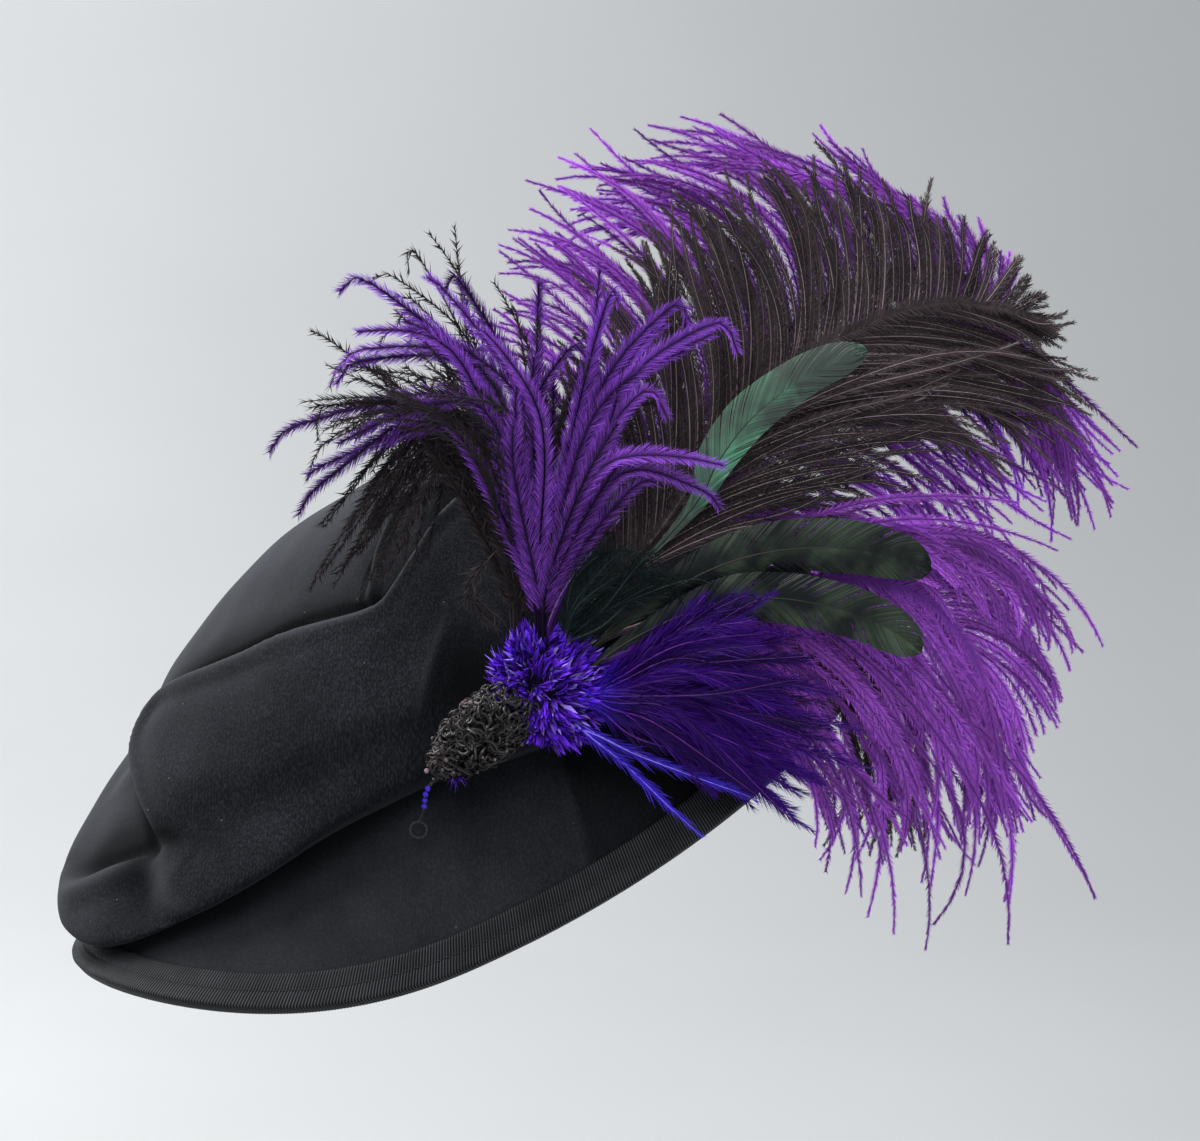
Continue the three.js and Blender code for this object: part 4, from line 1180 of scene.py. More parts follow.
def coque_material(name, dull, bright):
    """Cock's tail: dark, with a metallic green that comes and goes along the vane."""
    material, shade, shader = new_material(name)
    place = shade.place()
    tone, glow, quill = shade.marks()
    patch = shade.noise(place, 48.0, 3)
    shine = shade.maths("MULTIPLY", shade.span(patch, 0.42, 0.62), glow, True)
    colour = shade.mix(shine, dull, bright)
    colour = shade.mix(shade.span(tone, 0, 1, 0, 0.5), colour, COQUE_DARK)
    shade.join(shade.mix(quill, colour, COQUE_QUILL), shader.inputs["Base Color"])
    shade.join(shade.span(shine, 0, 1, 0.05, 0.5), shader.inputs["Metallic"])
    shade.join(shade.span(patch, 0.3, 0.7, 0.28, 0.5), shader.inputs["Roughness"])
    set_even(shader, {"Specular IOR Level": 0.35})
    grain = shade.group("Uneven dye", vector=place, scale=900.0, contrast=0.5)["Tone"]
    bumped(shade, shader, grain, 0.15)
    return material


def cord_material(name, cord, beads):
    """Black looped cord, with its few beads bright."""
    material, shade, shader = new_material(name)
    tone, gleam, bead = shade.marks()
    pile = shade.group("Short pile", vector=shade.place(), scale=4200.0)
    thread = shade.tinted(tuple(cord), shade.span(tone, 0, 1, 0.5, 1.9))
    glass = shade.mix(gleam, JET, tuple(beads))
    shade.join(shade.mix(bead, thread, glass), shader.inputs["Base Color"])
    shade.join(shade.span(bead, 0, 1, 0.34, 0.08), shader.inputs["Roughness"])
    set_even(shader, {"Specular IOR Level": 0.5})
    bumped(shade, shader, pile["Height"], 0.25)
    return material


# Pieces of the hat


def finish_piece(made, node):
    """Hangs a piece on the hat's one body, in place of its solid."""
    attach(made, "root")
    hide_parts(node)
    return made


def dress_crown(settings):
    """The velvet crown: a fine draped surface outside, a plainer one inside, closed at the hem.

    The inside lies a cloth's thickness below the lowest point nearby, so that it never comes through.
    """
    turns, levels, lining = 400, 168, 24
    turn = np.linspace(0, 2 * np.pi, turns, endpoint=False)
    angle, level = np.broadcast_arrays(crown_angle(turn)[:, None], np.linspace(0, 0.996, levels)[None])
    raised, marks = crown_raise(angle, level, settings.sizes)
    smooth, out = crown_point(angle, level), crown_normal(angle, level)
    reach = levels // lining + 2
    padded = np.pad(raised, ((0, 0), (reach, reach)), mode="edge")
    lowest = np.min([padded[:, k:k + levels] for k in range(2 * reach + 1)], axis=0)
    inner = np.linspace(levels - 2, 0, lining).astype(int)
    inside = (smooth + out * (lowest - CLOTH)[..., None])[:, inner]
    sections = np.concatenate([smooth + out * raised[..., None], inside], 1)
    marks = np.concatenate([marks, 0 * inside], 1)
    made = section_piece("velvet_crown", sections, settings.velvet, marks)
    finish_piece(made, "crown")


def dress_brim(settings):
    """The velvet brim, both faces, with soft waves on top, the nap's turn marked, and painted sheen on top.
    """
    turns, rows = 320, 26
    angle = np.linspace(0, 2 * np.pi, turns, endpoint=False)[:, None]
    share = np.linspace(0, 1, rows)[None]
    start = -BRIM_TUCK / round_column(BRIM["width"], angle)
    shares = start + (1 - start) * share
    waves = soft_waves(brim_point(angle, shares, 0.0), seed=5, longest=46, height=0.5)
    top = brim_point(angle, shares, np.minimum(waves * np.sin(np.pi * share), 0.3))
    under = brim_point(angle, shares[:, ::-2], -BRIM_THICK)
    bearing = np.degrees(angle)
    beyond = bearing - (NAP["crown"] + (NAP["edge"] - NAP["crown"]) * shares)
    nap = np.clip(beyond / NAP["soft"], 0, 1) * np.clip((NAP["end"] - bearing) / NAP["fade"], 0, 1)
    # Painted sheen on the brim's top, strongest at one bearing
    bell = np.exp(-(((bearing - BRIM_PAINTED_SHEEN["bearing"]) / BRIM_PAINTED_SHEEN["spread"]) ** 2))
    painted_sheen = BRIM_PAINTED_SHEEN["least"] + BRIM_PAINTED_SHEEN["more"] * bell + 0 * nap
    marks = np.stack([NAP["dark"] * nap, 0 * nap, painted_sheen], -1)
    sections = np.concatenate([top, under], 1)
    made = section_piece("velvet_brim", sections, settings.velvet, np.concatenate([marks, 0 * under], 1))
    finish_piece(made, "brim")


def even_angles(step, parts=1):
    """Bearings at even steps along the edge of the brim, each split in parts, and the edge's length."""
    fine = np.linspace(0, 2 * np.pi, 6001)
    edge = brim_point(fine, 0.93, 0.0)
    reach = np.concatenate([[0], np.cumsum(np.linalg.norm(np.diff(edge, axis=0), axis=1))])
    number = int(reach[-1] / step) * parts
    return np.interp(np.linspace(0, reach[-1], number, endpoint=False), reach, fine), reach[-1]


def dress_binding(settings):
    """Grosgrain ribbon folded over the brim's edge: ribs, a picot edge and its line of stitches."""
    per_rib = 4
    angle, _ = even_angles(settings.sizes.rib_pitch / MM, per_rib)
    turn = np.arange(len(angle))[:, None] / per_rib
    angle = angle[:, None]
    width = round_column(BRIM["width"], angle)
    start, edge = 1 - BINDING_WIDE / width, 1 + (GAP + BINDING_THICK) / width
    above, below = GAP + BINDING_THICK, -BRIM_THICK - GAP - BINDING_THICK
    # Shares of the ribbon's width, closest at the line of stitches, where the ribs bend to either side
    part = np.array([0.0, 0.12, 0.3, 0.44, 0.5, 0.56, 0.7, 0.88, 0.96])
    slide = np.where(part < 0.5, -0.16, 0.16) * np.abs(part - 0.5) ** 0.4
    rib = np.cos(2 * np.pi * (turn + slide[None]))
    dip = STITCH_DIP * np.exp(-(((part - 0.5) / 0.06) ** 2))
    picot = np.where(part == 0, PICOT * rib / width, 0)
    lift = above - RIB_HEIGHT + RIB_HEIGHT * rib - dip
    top = brim_point(angle, start + (edge - start) * part + picot, lift)
    # The fold round the brim's edge, the ribbon's back, and its inside, which clears the brim
    rounded = brim_point(angle, edge, above - np.array([[0.8, 2.1, 3.6]]) + 0 * angle)
    back = np.array([0.96, 0.7, 0.35, 0.0])
    rib_back = np.cos(2 * np.pi * turn)
    lift = below + RIB_HEIGHT - RIB_HEIGHT * rib_back + 0 * back
    under = brim_point(angle, start + (edge - start) * back, lift)
    clear = 1 + GAP / width
    inner = brim_point(angle, np.concatenate([start, clear, clear, start], 1),
                       np.array([[-BRIM_THICK - GAP, -BRIM_THICK - GAP, GAP, GAP]]))
    sections = np.concatenate([top, rounded, under, inner, top[:, :1]], 1)
    turns, size = sections.shape[:2]
    marks = np.zeros((turns, size, 3))
    # The rib mark places the painted highlight on the ribs' tops and the painted shade between them
    marks[:, :len(part), 0] = 0.5 + 0.5 * rib
    marks[:, len(part):-1 - inner.shape[1], 0] = 0.5 + 0.5 * rib_back
    marks[:, -1] = marks[:, 0]
    bundle = Bundle()
    bundle.add(sections, grid_faces(turns, size, True),
               grid_places(turns, size, (0.002, 0.9), (0.002, 0.9)), marks.reshape(-1, 3))
    add_stitches(bundle, above, settings.sizes.stitch / MM)
    made = bundle.piece("ribbon_binding", hat_points, ribbon_material("Grosgrain ribbon", settings.colours))
    weld(made)
    finish_piece(made, "brim_binding")


def add_stitches(bundle, above, step):
    """A line of short slanting stitches along the middle of the ribbon."""
    middle, around = even_angles(step)
    half = 0.36 * step / around * 2 * np.pi
    share = np.linspace(-1, 1, 4)
    angle = middle[:, None] + half * share
    width = round_column(BRIM["width"], angle)
    wide = BINDING_WIDE + GAP + BINDING_THICK
    path = brim_point(angle, 1 - (BINDING_WIDE - 0.5 * wide - 0.25 * share) / width,
                      above - 0.35 + 0.12 * (1 - share ** 2))
    marks = np.broadcast_to((0.8, 0, 1), (len(middle), 3))
    add_strands(bundle, path, 0.16, 4, marks, facing=(0, 0, 1))


# The spray


def plume_barbs(spec, rib, vane, rng, steps=15):
    """The spines of the barbs on one side of a plume's rib, which hold together in small locks."""
    count = spec["barbs"]
    at = spec["bare"] + (0.99 - spec["bare"]) * (np.arange(count) + rng.uniform(0, 0.9, count)) / count
    lock = np.floor(np.arange(count) / 3.6).astype(int)
    locks = lock[-1] + 1

    def value(column, scatter, together):
        level = np.interp(at, vane["at"], vane[column])
        return level + rng.normal(0, scatter, count) + rng.normal(0, together, locks)[lock]

    lead = value("lead", 2.2, 2.5)
    trail = value("trail", 7.0, 8.0)
    stray = 1 + spec.get("stray", 0.14) * (rng.uniform(0, 1, count) < 0.06)
    length = value("length", 0, 0) * rng.uniform(0.8, 1.02, count)
    length = length * rng.uniform(0.9, 1.03, locks)[lock] * stray
    back = value("back", 1.6, 1.8)
    curl = rng.normal(0, 20, count) + rng.normal(0, 16, locks)[lock]
    share = (np.arange(steps) + 0.5) / steps
    hook = curl[:, None] * np.maximum(share - 0.65, 0) * 2
    angle = np.radians(lead[:, None] + (trail - lead)[:, None] * share + hook)
    run = (length / steps)[:, None]
    step = np.stack([run * np.cos(angle), back[:, None] / steps + 0 * angle, run * np.sin(angle)], -1)
    start = np.stack([np.interp(at, np.linspace(0, 1, len(rib)), rib[:, k]) for k in range(3)], -1)
    return np.concatenate([start[:, None], start[:, None] + np.cumsum(step, axis=1)], 1)


def dress_plume(spec, sizes, material):
    """An ostrich plume: a tapering rib, and on each side barbs fringed with soft barbules."""
    rng = np.random.default_rng(spec["seed"])
    rib = curve_through(spray_order(spec["rib"]), 120)
    bundle = Bundle()
    taper = spec["stem"] * np.linspace(1, 0.28, len(rib))
    add_strands(bundle, rib[None], taper[None], 8, [(0.5, 0.0, 1.0)])
    fringe = {
        "length": spec["barbule"],
        "width": sizes.barbule_width / MM,
        "spacing": sizes.barbule_spacing / MM,
        "slant": 27,
        "spread": 16,
        "tilt": 0.28,
        "start": 0.7,
        "end": 0.4,
    }
    fluff = {"length": 6.5, "slant": 48, "spacing": 0.2, "width": 0.45, "first": spec["bare"], "fade": 0.55}
    add_barbules(bundle, rib[None] + np.array([0, -0.9, 0]), rng, {**fringe, **fluff})
    for vane in (spec["above"], spec["below"]):
        spines = plume_barbs(spec, rib, vane, rng)
        add_spines(bundle, spines, rng, 0.26, 0.09, 3)
        add_barbules(bundle, spines, rng, fringe)
    finish_piece(bundle.piece(spec["name"], spray_points, material, False), spec["node"])


def frond_spines(spec, rng, steps, bend, gather=0.0):
    """The spines of a bunch: each frond of the table, and looser copies of it.

    Bend is how far the tips hang, and gather how far the fronds keep together above the pad.
    """
    head = spray_order(spec["head"])
    fine = 4 * steps
    spines = []
    for mid_right, mid_up, right, up, away in spec["fronds"]:
        for copy in range(spec["copies"]):
            loose = spec["scatter"] if copy else 0.0
            middle = np.array([mid_right, head[1] + away * 0.6, mid_up]) + rng.normal(0, 1, 3) * loose * 0.5
            tip = np.array([right, head[1] + away, up]) + rng.normal(0, 1, 3) * loose * (1, 0.35, 1)
            reach = rng.uniform(0.72, 1.0) if copy else 1.0
            hang = np.array([0, 0, -1.0]) * bend * rng.uniform(0.3, 1.2)
            sway = rng.normal(0, 0.22, 3) * bend * (1, 0.3, 0.6)
            droop = (tip - middle) * np.array([0.2, 0, 0.08]) + hang + sway
            stem = head + (middle - head) * 0.36
            stem[0] += (head[0] - stem[0]) * gather
            path = curve_through([head + rng.normal(0, 0.7, 3), stem, middle, tip, tip + droop], fine)
            spines.append(path[np.linspace(0, int(fine * reach) - 1, steps).astype(int)])
    return np.array(spines)


def dress_bunch(spec, material):
    """Loose fronds bound at one place, each a dark spine with long barbules in a herringbone."""
    rng = np.random.default_rng(spec["seed"])
    steps = 26
    spines = frond_spines(spec, rng, steps, 9.0, 0.5)
    bundle = Bundle()
    add_spines(bundle, spines, rng, 0.42, 0.14, 4)
    for hook in spec.get("hooks", []):
        path = curve_through(spray_order(hook), steps)
        loose = path[None] + np.linspace(0, 1, steps)[:, None] * rng.normal(0, 1.3, (5, 1, 3))
        add_strands(bundle, loose, 0.2, 4, [(0.8, 0.6, 0)] * 5)
        spines = np.concatenate([spines, loose])
    add_barbules(bundle, spines, rng, {
        **{key: spec[key] for key in ("spacing", "slant", "spread", "loose", "short")},
        "length": spec["barbule"],
        "width": spec["wide"],
        "uneven": 0.45,
        "tilt": 0.3,
        "first": 0.12,
        "start": 0.3,
        "end": 0.5,
    })
    made = bundle.piece(spec["name"], spray_points, material, False)
    finish_piece(made, spec["node"])


def dress_hackles(spec, material):
    """Long satin hackles: fine barbs laid close along each quill."""
    rng = np.random.default_rng(spec["seed"])
    spines = frond_spines(spec, rng, 24, 1.5)
    bundle = Bundle()
    add_spines(bundle, spines, rng, 0.34, 0.1, 4)
    add_barbules(bundle, spines, rng, {
        "length": spec["half_width"] / math.sin(math.radians(spec["slant"])),
        "width": 1.3,
        "spacing": 0.5,
        "slant": spec["slant"],
        "spread": 14,
        "tilt": 0.35,
        "start": 0.35,
        "end": 0.25,
    })
    made = bundle.piece(spec["name"], spray_points, material, False)
    finish_piece(made, spec["node"])


def dress_leaf(spec, material):
    """A cock's tail feather: a quill, and on each side a cambered vane of close barbs with splits."""
    rng = np.random.default_rng(spec["seed"])
    fine, count, steps = 200, 260, 6
    whole, out = np.linspace(0, 1, fine), np.linspace(0, 1, steps)
    quill = curve_through(spray_order(spec["quill"]), fine)
    line = quill[:, :3]
    ahead = unit(np.gradient(line, axis=0))
    side = unit(np.stack([-ahead[:, 2], 0 * ahead[:, 0], ahead[:, 0]], -1))
    bundle = Bundle()
    add_strands(bundle, line[None], 0.55 * np.linspace(1, 0.25, fine)[None], 6, [(0.2, 0.0, 1.0)])
    start = np.arange(count) / count
    one = np.arange(steps - 1)
    for way, column in ((1, 3), (-1, 4)):
        clump = np.repeat(rng.normal(0, 0.002, 44), 6)[:count]
        split = (rng.uniform(0, 1, count) < 0.045) & (start > 0.3)
        edges = []
        for edge in (0, 1):
            base = start + edge * (1.04 / count)
            reach = base[:, None] + 0.085 * out + clump[:, None] * out
            reach = reach - edge * np.where(split, 0.014, 0)[:, None] * np.maximum(out - 0.25, 0)
            place = np.clip(reach, 0, 1)
            width = np.maximum(np.interp(place, whole, quill[:, column]), 0)
            centre, across = (np.stack([np.interp(place, whole, rows[:, k]) for k in range(3)], -1)
                              for rows in (line, side))
            points = centre + way * across * (width * out)[..., None]
            points[..., 1] += 0.16 * width * out ** 2 + 0.05 * rng.normal(0, 1, count)[:, None] * out - 0.2
            edges.append(points)
        quads = np.concatenate([np.stack([one, one + steps, one + steps + 1], -1),
                                np.stack([one, one + steps + 1, one + 1], -1)])
        if way < 0:
            quads = quads[:, ::-1]
        faces = (quads[None] + (np.arange(count) * 2 * steps)[:, None, None]).reshape(-1, 3)
        tone = np.repeat(rng.uniform(0, 1, count), 2 * steps)
        glow = np.full(len(tone), 1.0 if way < 0 else 0.45)
        u = np.repeat(np.clip(start, 0, 0.99), 2 * steps)
        u = u + np.tile(np.repeat([0, 0.7 / count], steps), count)
        v = 0.5 + way * (0.02 + 0.46 * np.tile(out, count * 2))
        bundle.add(np.stack(edges, 1), faces, np.stack([u, v], -1), np.stack([tone, glow, 0 * tone], -1))
    made = bundle.piece(spec["name"], spray_points, material, True)
    finish_piece(made, spec["node"])


def sloped(place, rows):
    """Rows of right, away and up, turned by the slope of a trim."""
    slope = math.radians(place["slope"])
    x, y, z = np.moveaxis(rows, -1, 0)
    return np.stack([x * math.cos(slope) - z * math.sin(slope), y,
                     x * math.sin(slope) + z * math.cos(slope)], -1)


def mound(place, grow, rng, count, forward=-0.35):
    """Random places on the front of an ellipsoid of the trim, and the way out from each."""
    way = unit(rng.normal(0, 1, (count * 2, 3)))
    way = way[way[:, 1] < -forward][:count]
    half = spray_order(place["size"]) / 2 * grow
    return sloped(place, way * half) + spray_order(place["at"]), sloped(place, unit(way / half))


def add_core(bundle, place, grow):
    """The heart of a trim, coloured dark as painted shade, so that nothing shows through it."""
    rows, columns = 14, 24
    ball = ball_points(rows, columns, 0.02)
    points = sloped(place, ball * (spray_order(place["size"]) / 2 * grow)) + spray_order(place["at"])
    places = grid_places(columns, rows, (0.01, 0.99), (0.9, 0.99))
    # Marks of nought give the finish's darkest colour, as painted shade
    bundle.add(points, grid_faces(columns, rows, True), places, (0.0, 0.0, 0.0))


def add_blades(bundle, roots, ways, rng, long, wide):
    """Short chopped feather tips, each a narrow bent blade."""
    count = len(roots)
    side = unit(np.cross(ways, rng.normal(0, 1, (count, 3))))
    lift = np.cross(side, ways)
    length = np.asarray(long)[:, None]
    half = np.asarray(wide)[:, None] / 2
    middle = roots + ways * length * 0.5 + lift * length * 0.05
    points = np.stack([roots, middle + side * half, middle - side * half, roots + ways * length], 1)
    one = np.array([[0, 1, 2], [1, 3, 2]])
    faces = (one[None] + (np.arange(count) * 4)[:, None, None]).reshape(-1, 3)
    # Each tip runs from a root darkened as painted shade among the crowded tips to its tip
    tone = np.repeat(rng.uniform(0, 1, count), 4)
    marks = np.stack([tone, np.tile([0.0, 0.35, 0.35, 1.0], count),
                      np.repeat((rng.uniform(0, 1, count) < 0.12) * 0.8, 4)], -1)
    columns = 60
    cell = np.arange(count)
    u = ((cell % columns)[:, None] + np.array([0.1, 0.45, 0.55, 0.9])) / columns
    v = 0.88 * ((cell // columns)[:, None] + np.array([0.1, 0.8, 0.2, 0.9])) / (count // columns + 1)
    bundle.add(points, faces, np.stack([u, v], -1).reshape(-1, 2), marks)


def dress_pad(settings):
    """The pad of chopped violet tips that binds the stems, shorter where the gimp covers it.

    Tips of one tuft lean alike, and all of them sweep a little toward the plumes.
    """
    rng = np.random.default_rng(61)
    bundle = Bundle()
    add_core(bundle, PAD, 0.74)
    roots, normals = mound(PAD, 0.76, rng, 4200)
    spread = roots - spray_order(PAD["at"])
    spread[:, 1] = 0
    outward = unit(spread)
    toward_gimp = np.clip(outward @ np.array([-0.78, 0, -0.63]) * 1.6 - 0.5, 0, 1)
    # Tips in one cell of 4.2 mm make a tuft, and its number gives their lean and length
    tuft = np.round(roots / 4.2) @ np.array([1.3, 7.7, 3.1])
    lean = np.stack([np.sin(tuft * 1.7), np.cos(tuft * 2.3) * 0.6, np.sin(tuft * 3.1 + 1)], -1)
    sweep = np.array([0.45, 0, 0.12])
    ways = unit(normals * 0.55 + outward * 0.6 + sweep + lean * 0.45 + rng.normal(0, 0.25, roots.shape))
    length = rng.uniform(3.0, 7.5, len(roots)) * (1 - 0.6 * toward_gimp) * (1 + 0.3 * np.sin(tuft * 5.3))
    wide = rng.uniform(0.5, 1.1, len(roots)) + 1.3 * (rng.uniform(0, 1, len(roots)) < 0.12)
    add_blades(bundle, roots, ways, rng, length, wide)
    count = 40
    start = spray_order(TUFT) + rng.normal(0, 0.8, (count, 3))
    ways = unit(np.array([0.1, -0.2, -0.8]) + rng.normal(0, 0.55, (count, 3)))
    add_blades(bundle, start, ways, rng, rng.uniform(3, 6.5, count), rng.uniform(0.25, 0.5, count))
    made = bundle.piece("violet_pad", spray_points, settings.violet, False)
    finish_piece(made, "feather_pad")


def add_curls(bundle, roots, normals, rng, radius, wire):
    """Small open loops of cord that stand on a surface at all angles."""
    count, steps = len(roots), 13
    share = np.linspace(0, 1, steps)
    lean = unit(normals + rng.normal(0, 0.6, normals.shape))
    first = unit(np.cross(lean, rng.normal(0, 1, lean.shape)))
    second = np.cross(lean, first)
    size = rng.uniform(radius[0], radius[1], count)[:, None, None]
    start = rng.uniform(0, 2 * np.pi, count)[:, None]
    turn = start + share * rng.uniform(4.6, 6.6, count)[:, None]
    loop = np.cos(turn)[..., None] * first[:, None] + np.sin(turn)[..., None] * second[:, None]
    path = size * (1 - 0.25 * share)[None, :, None] * loop
    rise = (rng.normal(0, 0.5, count)[:, None] * np.linspace(-1, 1, steps))[..., None] * lean[:, None]
    path = path + rise + roots[:, None]
    tone = rng.uniform(0, 1, count)
    add_strands(bundle, path, wire, 5, np.stack([tone, 0 * tone, 0 * tone], -1), facing=(0.3, 0.9, 0.31))


def add_beads(bundle, centres, radii, tones):
    """Faceted glass beads."""
    rows, columns = 5, 8
    ball = ball_points(rows, columns, 0.05).reshape(-1, 3)
    faces = grid_faces(columns, rows, True)
    for centre, radius, tone in zip(centres, radii, tones):
        bundle.add(centre + radius * ball, faces, (0.95, 0.95) + 0.02 * ball[:, :2], (0.5, tone, 1.0))


def dress_gimp(settings):
    """The gimp that wraps the stems: black cord in a crowd of loops, with a few cut beads."""
    rng = np.random.default_rng(71)
    bundle = Bundle()
    add_core(bundle, GIMP, 0.78)
    roots, normals = mound(GIMP_LOOPS, 0.9, rng, 400)
    add_curls(bundle, roots, normals, rng, (1.3, 2.7), 0.42)
    spots, _ = mound(GIMP_LOOPS, 1.02, rng, 46)
    add_beads(bundle, spots, rng.uniform(0.45, 0.85, len(spots)), rng.uniform(0, 1, len(spots)) ** 2)
    made = bundle.piece("looped_gimp", spray_points, settings.cord, False)
    finish_piece(made, "gimp_wrap")


def add_twist(bundle, path, out, lift, turn, apart, thick, tone):
    """Two plies of thread twisted round each other along a path."""
    for ply in range(2):
        around = turn + math.pi * ply
        twisted = path + apart * (np.cos(around)[:, None] * out + np.sin(around)[:, None] * lift)
        add_strands(bundle, twisted[None], thick, 6, [(tone, 0, 0)])


def dress_thread(settings):
    """The end of the gimp: a twisted thread with a few violet beads, and the loop it ends in."""
    steps = 40
    path = curve_through(spray_order(THREAD_PATH), steps)
    bundle = Bundle()
    ahead = unit(np.gradient(path, axis=0))
    side = unit(np.cross(ahead, (0, 1, 0)))
    add_twist(bundle, path, side, np.cross(side, ahead), 34 * np.linspace(0, 1, steps), 0.24, 0.26, 0.5)
    turn = np.linspace(0, 2 * np.pi, steps + 1)
    centre = spray_order(THREAD_RING["at"])
    ring = centre + THREAD_RING["radius"] * np.stack([np.cos(turn), 0 * turn, np.sin(turn)], -1)
    add_twist(bundle, ring, unit(ring - centre), np.array([0, 1, 0]), 6 * turn, 0.2, 0.22, 0.9)
    add_beads(bundle, path[[17, 21, 25, 29]], [1.0, 1.05, 0.95, 1.0], [1, 0.8, 1, 0.9])
    made = bundle.piece("thread_and_beads", spray_points, settings.beads, False)
    finish_piece(made, "thread_loop")


# The stage


def pale_material():
    """The pale seamless paper that the hat is shown against."""
    material, shade, shader = new_material("Pale paper")
    tone = shade.group("Uneven dye", vector=shade.place(), scale=2.0, contrast=0.03)["Tone"]
    shade.join(shade.tinted(PAPER, tone), shader.inputs["Base Color"])
    set_even(shader, {"Roughness": 0.9})
    return material


def make_floor(low):
    """A wide pale sweep, below everything that hangs, that curves up far behind the hat."""
    # The flat part, a quarter round, then the upright part
    turn = np.linspace(0, np.pi / 2, 25)
    far, bend = 1500.0, 1300.0
    away = np.concatenate([[-4000.0, -1500.0], far + bend * np.sin(turn), [far + bend]])
    up = np.concatenate([[0.0, 0.0], bend * (1 - np.cos(turn)), [4200.0]])
    right = np.linspace(-4500, 4500, 13)
    points = np.stack(np.broadcast_arrays(right[:, None], away[None], up[None]), -1)
    points = spray_points(points).reshape(-1, 3) + np.array([0, 0, low])
    mesh = bpy.data.meshes.new("floor")
    faces = grid_faces(len(right), len(away)).tolist()
    mesh.from_pydata(points.tolist(), [], faces)
    mesh.polygons.foreach_set("use_smooth", np.full(len(faces), True))
    mesh.materials.append(pale_material())
    floor = bpy.data.objects.new("floor", mesh)
    bpy.context.scene.collection.objects.link(floor)


def add_light(name, at, target, size, power, colour):
    """A soft square light that faces the target."""
    lamp = bpy.data.lights.new(name, "AREA")
    lamp.size, lamp.energy, lamp.color = size, power, colour
    made = bpy.data.objects.new(name, lamp)
    made.location = at
    made.rotation_mode = "QUATERNION"
    made.rotation_quaternion = (Vector(target) - Vector(at)).to_track_quat("-Z", "Y")
    bpy.context.scene.collection.objects.link(made)


def make_stage(settings):
    """Floor, soft studio light and the camera at the view of the picture."""
    tilt = math.radians(CAMERA["elevation"])
    target = Vector(spray_points(spray_order(CAMERA["target"])))
    back = Vector(spray_points([0, -math.cos(tilt), math.sin(tilt)])) / MM
    camera = bpy.data.objects.new("camera", bpy.data.cameras.new("camera"))
    camera.data.lens, camera.data.sensor_width = CAMERA["lens"], CAMERA["sensor"]
    camera.location = target + back * CAMERA["distance"] * MM
    camera.rotation_mode = "QUATERNION"
    camera.rotation_quaternion = (-back).to_track_quat("-Z", "Y")
    camera.data.clip_start, camera.data.clip_end = 0.05, 60
    bpy.context.scene.collection.objects.link(camera)
    bpy.context.scene.camera = camera
    make_floor(CAD_BOX[0].z - FLOOR_DROP)
    for name, at, faced, size, power, tint in LIGHTS:
        faced = spray_points(faced) if faced else target
        add_light(name, spray_points(at), faced, size, power * settings.stage.light, tint)
    world = bpy.data.worlds.new("studio")
    world.use_nodes = True
    background = world.node_tree.nodes["Background"]
    set_even(background, {"Color": (*dye(AMBIENT), 1), "Strength": settings.stage.ambient})
    bpy.context.scene.world = world
    bpy.context.scene.view_settings.view_transform = "Standard"


# The add-on


def length_field(name, description, default, low=0.0, high=0.05):
    """A length that the panel shows, in metres."""
    return bpy.props.FloatProperty(name=name, description=description, default=default, min=low, max=high,
                                   subtype="DISTANCE", unit="LENGTH", precision=5)


def colour_field(name, description, default):
    """A linear colour that the panel shows."""
    return bpy.props.FloatVectorProperty(name=name, description=description, default=default, size=3,
                                         min=0.0, max=1.0, subtype="COLOR")


class HatSizes(bpy.types.PropertyGroup):
    groove_depth: bpy.props.FloatProperty(
        name="Groove depth", description="How deep the dark groove behind each fold is", default=1.0,
        min=0.0, max=2.0, subtype="FACTOR")
    cloth_waves: length_field("Cloth waves", "Height of the soft unevenness of the velvet", 0.0006)
    rib_pitch: length_field("Rib pitch", "Distance between the ribs of the ribbon", 0.00095, 0.0006)
    stitch: length_field("Stitch", "Length of a stitch along the ribbon", 0.0032, 0.001)
    barbule_width: length_field("Barbule width", "Width of a barbule of the ostrich plumes", 0.00075)
    barbule_spacing: length_field("Barbule spacing", "Distance between the plumes' barbules", 0.0004, 0.0002)


class HatColours(bpy.types.PropertyGroup):
    velvet: colour_field("Velvet", "The velvet where it is seen straight on", (0.0066, 0.0072, 0.009))
    # The sheen colour is painted: edge on, on the brim, and as the highlight on the folds' edges
    velvet_sheen: colour_field("Velvet sheen", "The velvet's pile seen edge on", (0.05, 0.0525, 0.06))
    # The ribbon colour is the painted highlight on its ribs' tops, with painted shade between them
    ribbon: colour_field("Ribbon", "The tops of the ribbon's ribs", (0.085, 0.09, 0.103))
    stitch: colour_field("Stitches", "The thread of the stitches", (0.03, 0.031, 0.036))
    cord: colour_field("Gimp cord", "The looped cord", (0.022, 0.019, 0.02))
    bead: colour_field("Beads", "The lightest of the beads", (0.34, 0.24, 0.3))
    thread_bead: colour_field("Thread beads", "The beads of the thread", dye("3b22c8"))
    ostrich_black: colour_field("Black ostrich", "Barbules of the black plumes", dye("504649"))
    ostrich_purple: colour_field("Purple ostrich", "Barbules of the purple plumes", dye("ae5cf2"))


class StageSettings(bpy.types.PropertyGroup):
    light: bpy.props.FloatProperty(name="Light", description="Strength of the studio lights", default=1.0,
                                   min=0.0, max=10.0)
    ambient: bpy.props.FloatProperty(name="Ambient", description="Strength of the light all round",
                                     default=0.4, min=0.0, max=10.0)


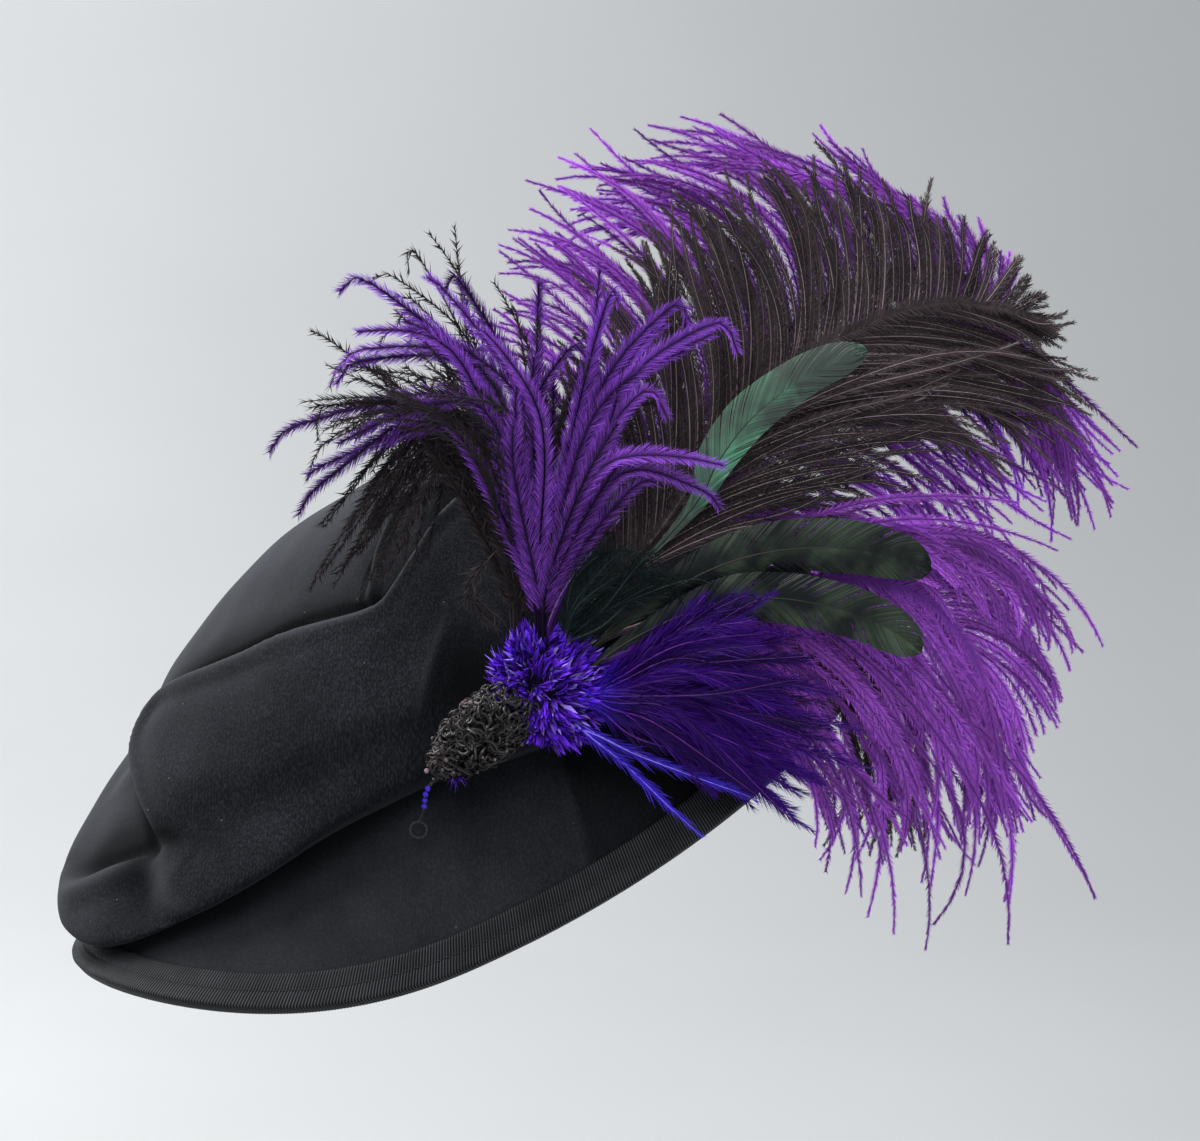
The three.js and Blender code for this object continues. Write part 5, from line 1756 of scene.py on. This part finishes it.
class Settings:
    """The sizes, colours and shared finishes that the pieces are made with."""

    def __init__(self, scene):
        self.sizes, self.colours, self.stage = scene.hat_sizes, scene.hat_colours, scene.hat_stage

    def shared(self, name, make):
        """A material by name, made when it is first asked for."""
        return bpy.data.materials.get(name) or make(name)

    def ostrich(self, name, dyed, *shades):
        """Plume barbs whose root, tip and spine are each so many times as bright as one colour."""
        return self.shared(name, lambda given: flue_material(given, *(shaded(dyed, by) for by in shades)))

    @property
    def velvet(self):
        return self.shared("Black velvet", lambda name: velvet_material(name, self.colours))

    @property
    def black(self):
        return self.ostrich("Black ostrich", self.colours.ostrich_black, 0.4, 1.0, 2.4)

    @property
    def purple(self):
        return self.ostrich("Purple ostrich", self.colours.ostrich_purple, 0.42, 1.6, 0.25)

    @property
    def violet(self):
        return self.shared("Violet chopped tips", dyed_flue)

    @property
    def cord(self):
        return self.shared("Looped cord and jet", lambda name: cord_material(
            name, self.colours.cord, self.colours.bead))

    @property
    def beads(self):
        return self.shared("Thread and violet beads", lambda name: cord_material(
            name, self.colours.cord, self.colours.thread_bead))


class MakeStage(bpy.types.Operator):
    """Lay the pale floor and set the studio light and the camera"""

    bl_idname = "draped_hat.stage"
    bl_label = "Stage"

    def execute(self, context):
        make_stage(Settings(context.scene))
        return {"FINISHED"}


class MakeCrown(bpy.types.Operator):
    """Drape the velvet crown"""

    bl_idname = "draped_hat.crown"
    bl_label = "Velvet crown"

    def execute(self, context):
        dress_crown(Settings(context.scene))
        return {"FINISHED"}


class MakeBrim(bpy.types.Operator):
    """Cover the brim in velvet and bind its edge in ribbon"""

    bl_idname = "draped_hat.brim"
    bl_label = "Brim and ribbon"

    def execute(self, context):
        settings = Settings(context.scene)
        dress_brim(settings)
        dress_binding(settings)
        return {"FINISHED"}


class MakePlumes(bpy.types.Operator):
    """Make the four ostrich plumes"""

    bl_idname = "draped_hat.plumes"
    bl_label = "Ostrich plumes"

    def execute(self, context):
        settings = Settings(context.scene)
        looks = {"black_ostrich": settings.black, "purple_ostrich": settings.purple}
        for spec in PLUMES:
            dress_plume(spec, settings.sizes, looks[spec["slot"]])
        return {"FINISHED"}


class MakeFronds(bpy.types.Operator):
    """Make the loose ostrich fronds over the crown"""

    bl_idname = "draped_hat.fronds"
    bl_label = "Loose fronds"

    def execute(self, context):
        looks = {"black_ostrich": dyed_flue("Black fronds"), "purple_ostrich": dyed_flue("Purple fronds")}
        for spec in BUNCHES:
            dress_bunch(spec, looks[spec["slot"]])
        return {"FINISHED"}


class MakeHackles(bpy.types.Operator):
    """Make the violet hackles and the two spikes below them"""

    bl_idname = "draped_hat.hackles"
    bl_label = "Violet hackles"

    def execute(self, context):
        for spec, look in zip(HACKLES, (hackle_material("Satin hackle"), dyed_flue("Bright spike"))):
            dress_hackles(spec, look)
        return {"FINISHED"}


class MakeCoques(bpy.types.Operator):
    """Make the three cock's tail feathers and the down at their roots"""

    bl_idname = "draped_hat.coques"
    bl_label = "Tail feathers"

    def execute(self, context):
        looks = {
            "coque_green": coque_material("Green coque", dye("56635c"), dye("7abf9c")),
            "coque": coque_material("Dark coque", dye("0f1718"), dye("5e705a")),
        }
        for spec in LEAVES:
            dress_leaf(spec, looks[spec["slot"]])
        dress_bunch(DOWN, dyed_flue("Coque down"))
        return {"FINISHED"}


class MakeTrim(bpy.types.Operator):
    """Make the pad of chopped tips, the looped gimp and the thread that ends it"""

    bl_idname = "draped_hat.trim"
    bl_label = "Pad and gimp"

    def execute(self, context):
        settings = Settings(context.scene)
        dress_pad(settings)
        dress_gimp(settings)
        dress_thread(settings)
        return {"FINISHED"}


OPERATORS = (MakeStage, MakeCrown, MakeBrim, MakePlumes, MakeFronds, MakeHackles, MakeCoques, MakeTrim)


class HatPanel(bpy.types.Panel):
    """The steps that dress the hat, with their sizes and colours"""

    bl_idname = "VIEW3D_PT_draped_hat"
    bl_label = "Draped hat"
    bl_space_type = "VIEW_3D"
    bl_region_type = "UI"
    bl_category = "Draped hat"

    def draw(self, context):
        for operator in OPERATORS:
            self.layout.operator(operator.bl_idname)
        for group in (context.scene.hat_sizes, context.scene.hat_colours, context.scene.hat_stage):
            box = self.layout.box()
            for key in group.__annotations__:
                box.prop(group, key)


GROUPS = {"hat_sizes": HatSizes, "hat_colours": HatColours, "hat_stage": StageSettings}


def register():
    for group in (*GROUPS.values(), *OPERATORS, HatPanel):
        bpy.utils.register_class(group)
    for name, group in GROUPS.items():
        setattr(bpy.types.Scene, name, bpy.props.PointerProperty(type=group))


def unregister():
    for name in GROUPS:
        delattr(bpy.types.Scene, name)
    for group in reversed((*GROUPS.values(), *OPERATORS, HatPanel)):
        bpy.utils.unregister_class(group)


def main():
    """Dresses the hat step by step."""
    register()
    for operator in OPERATORS:
        getattr(bpy.ops.draped_hat, operator.bl_idname.split(".")[1])()


if __name__ == "__main__":
    main()
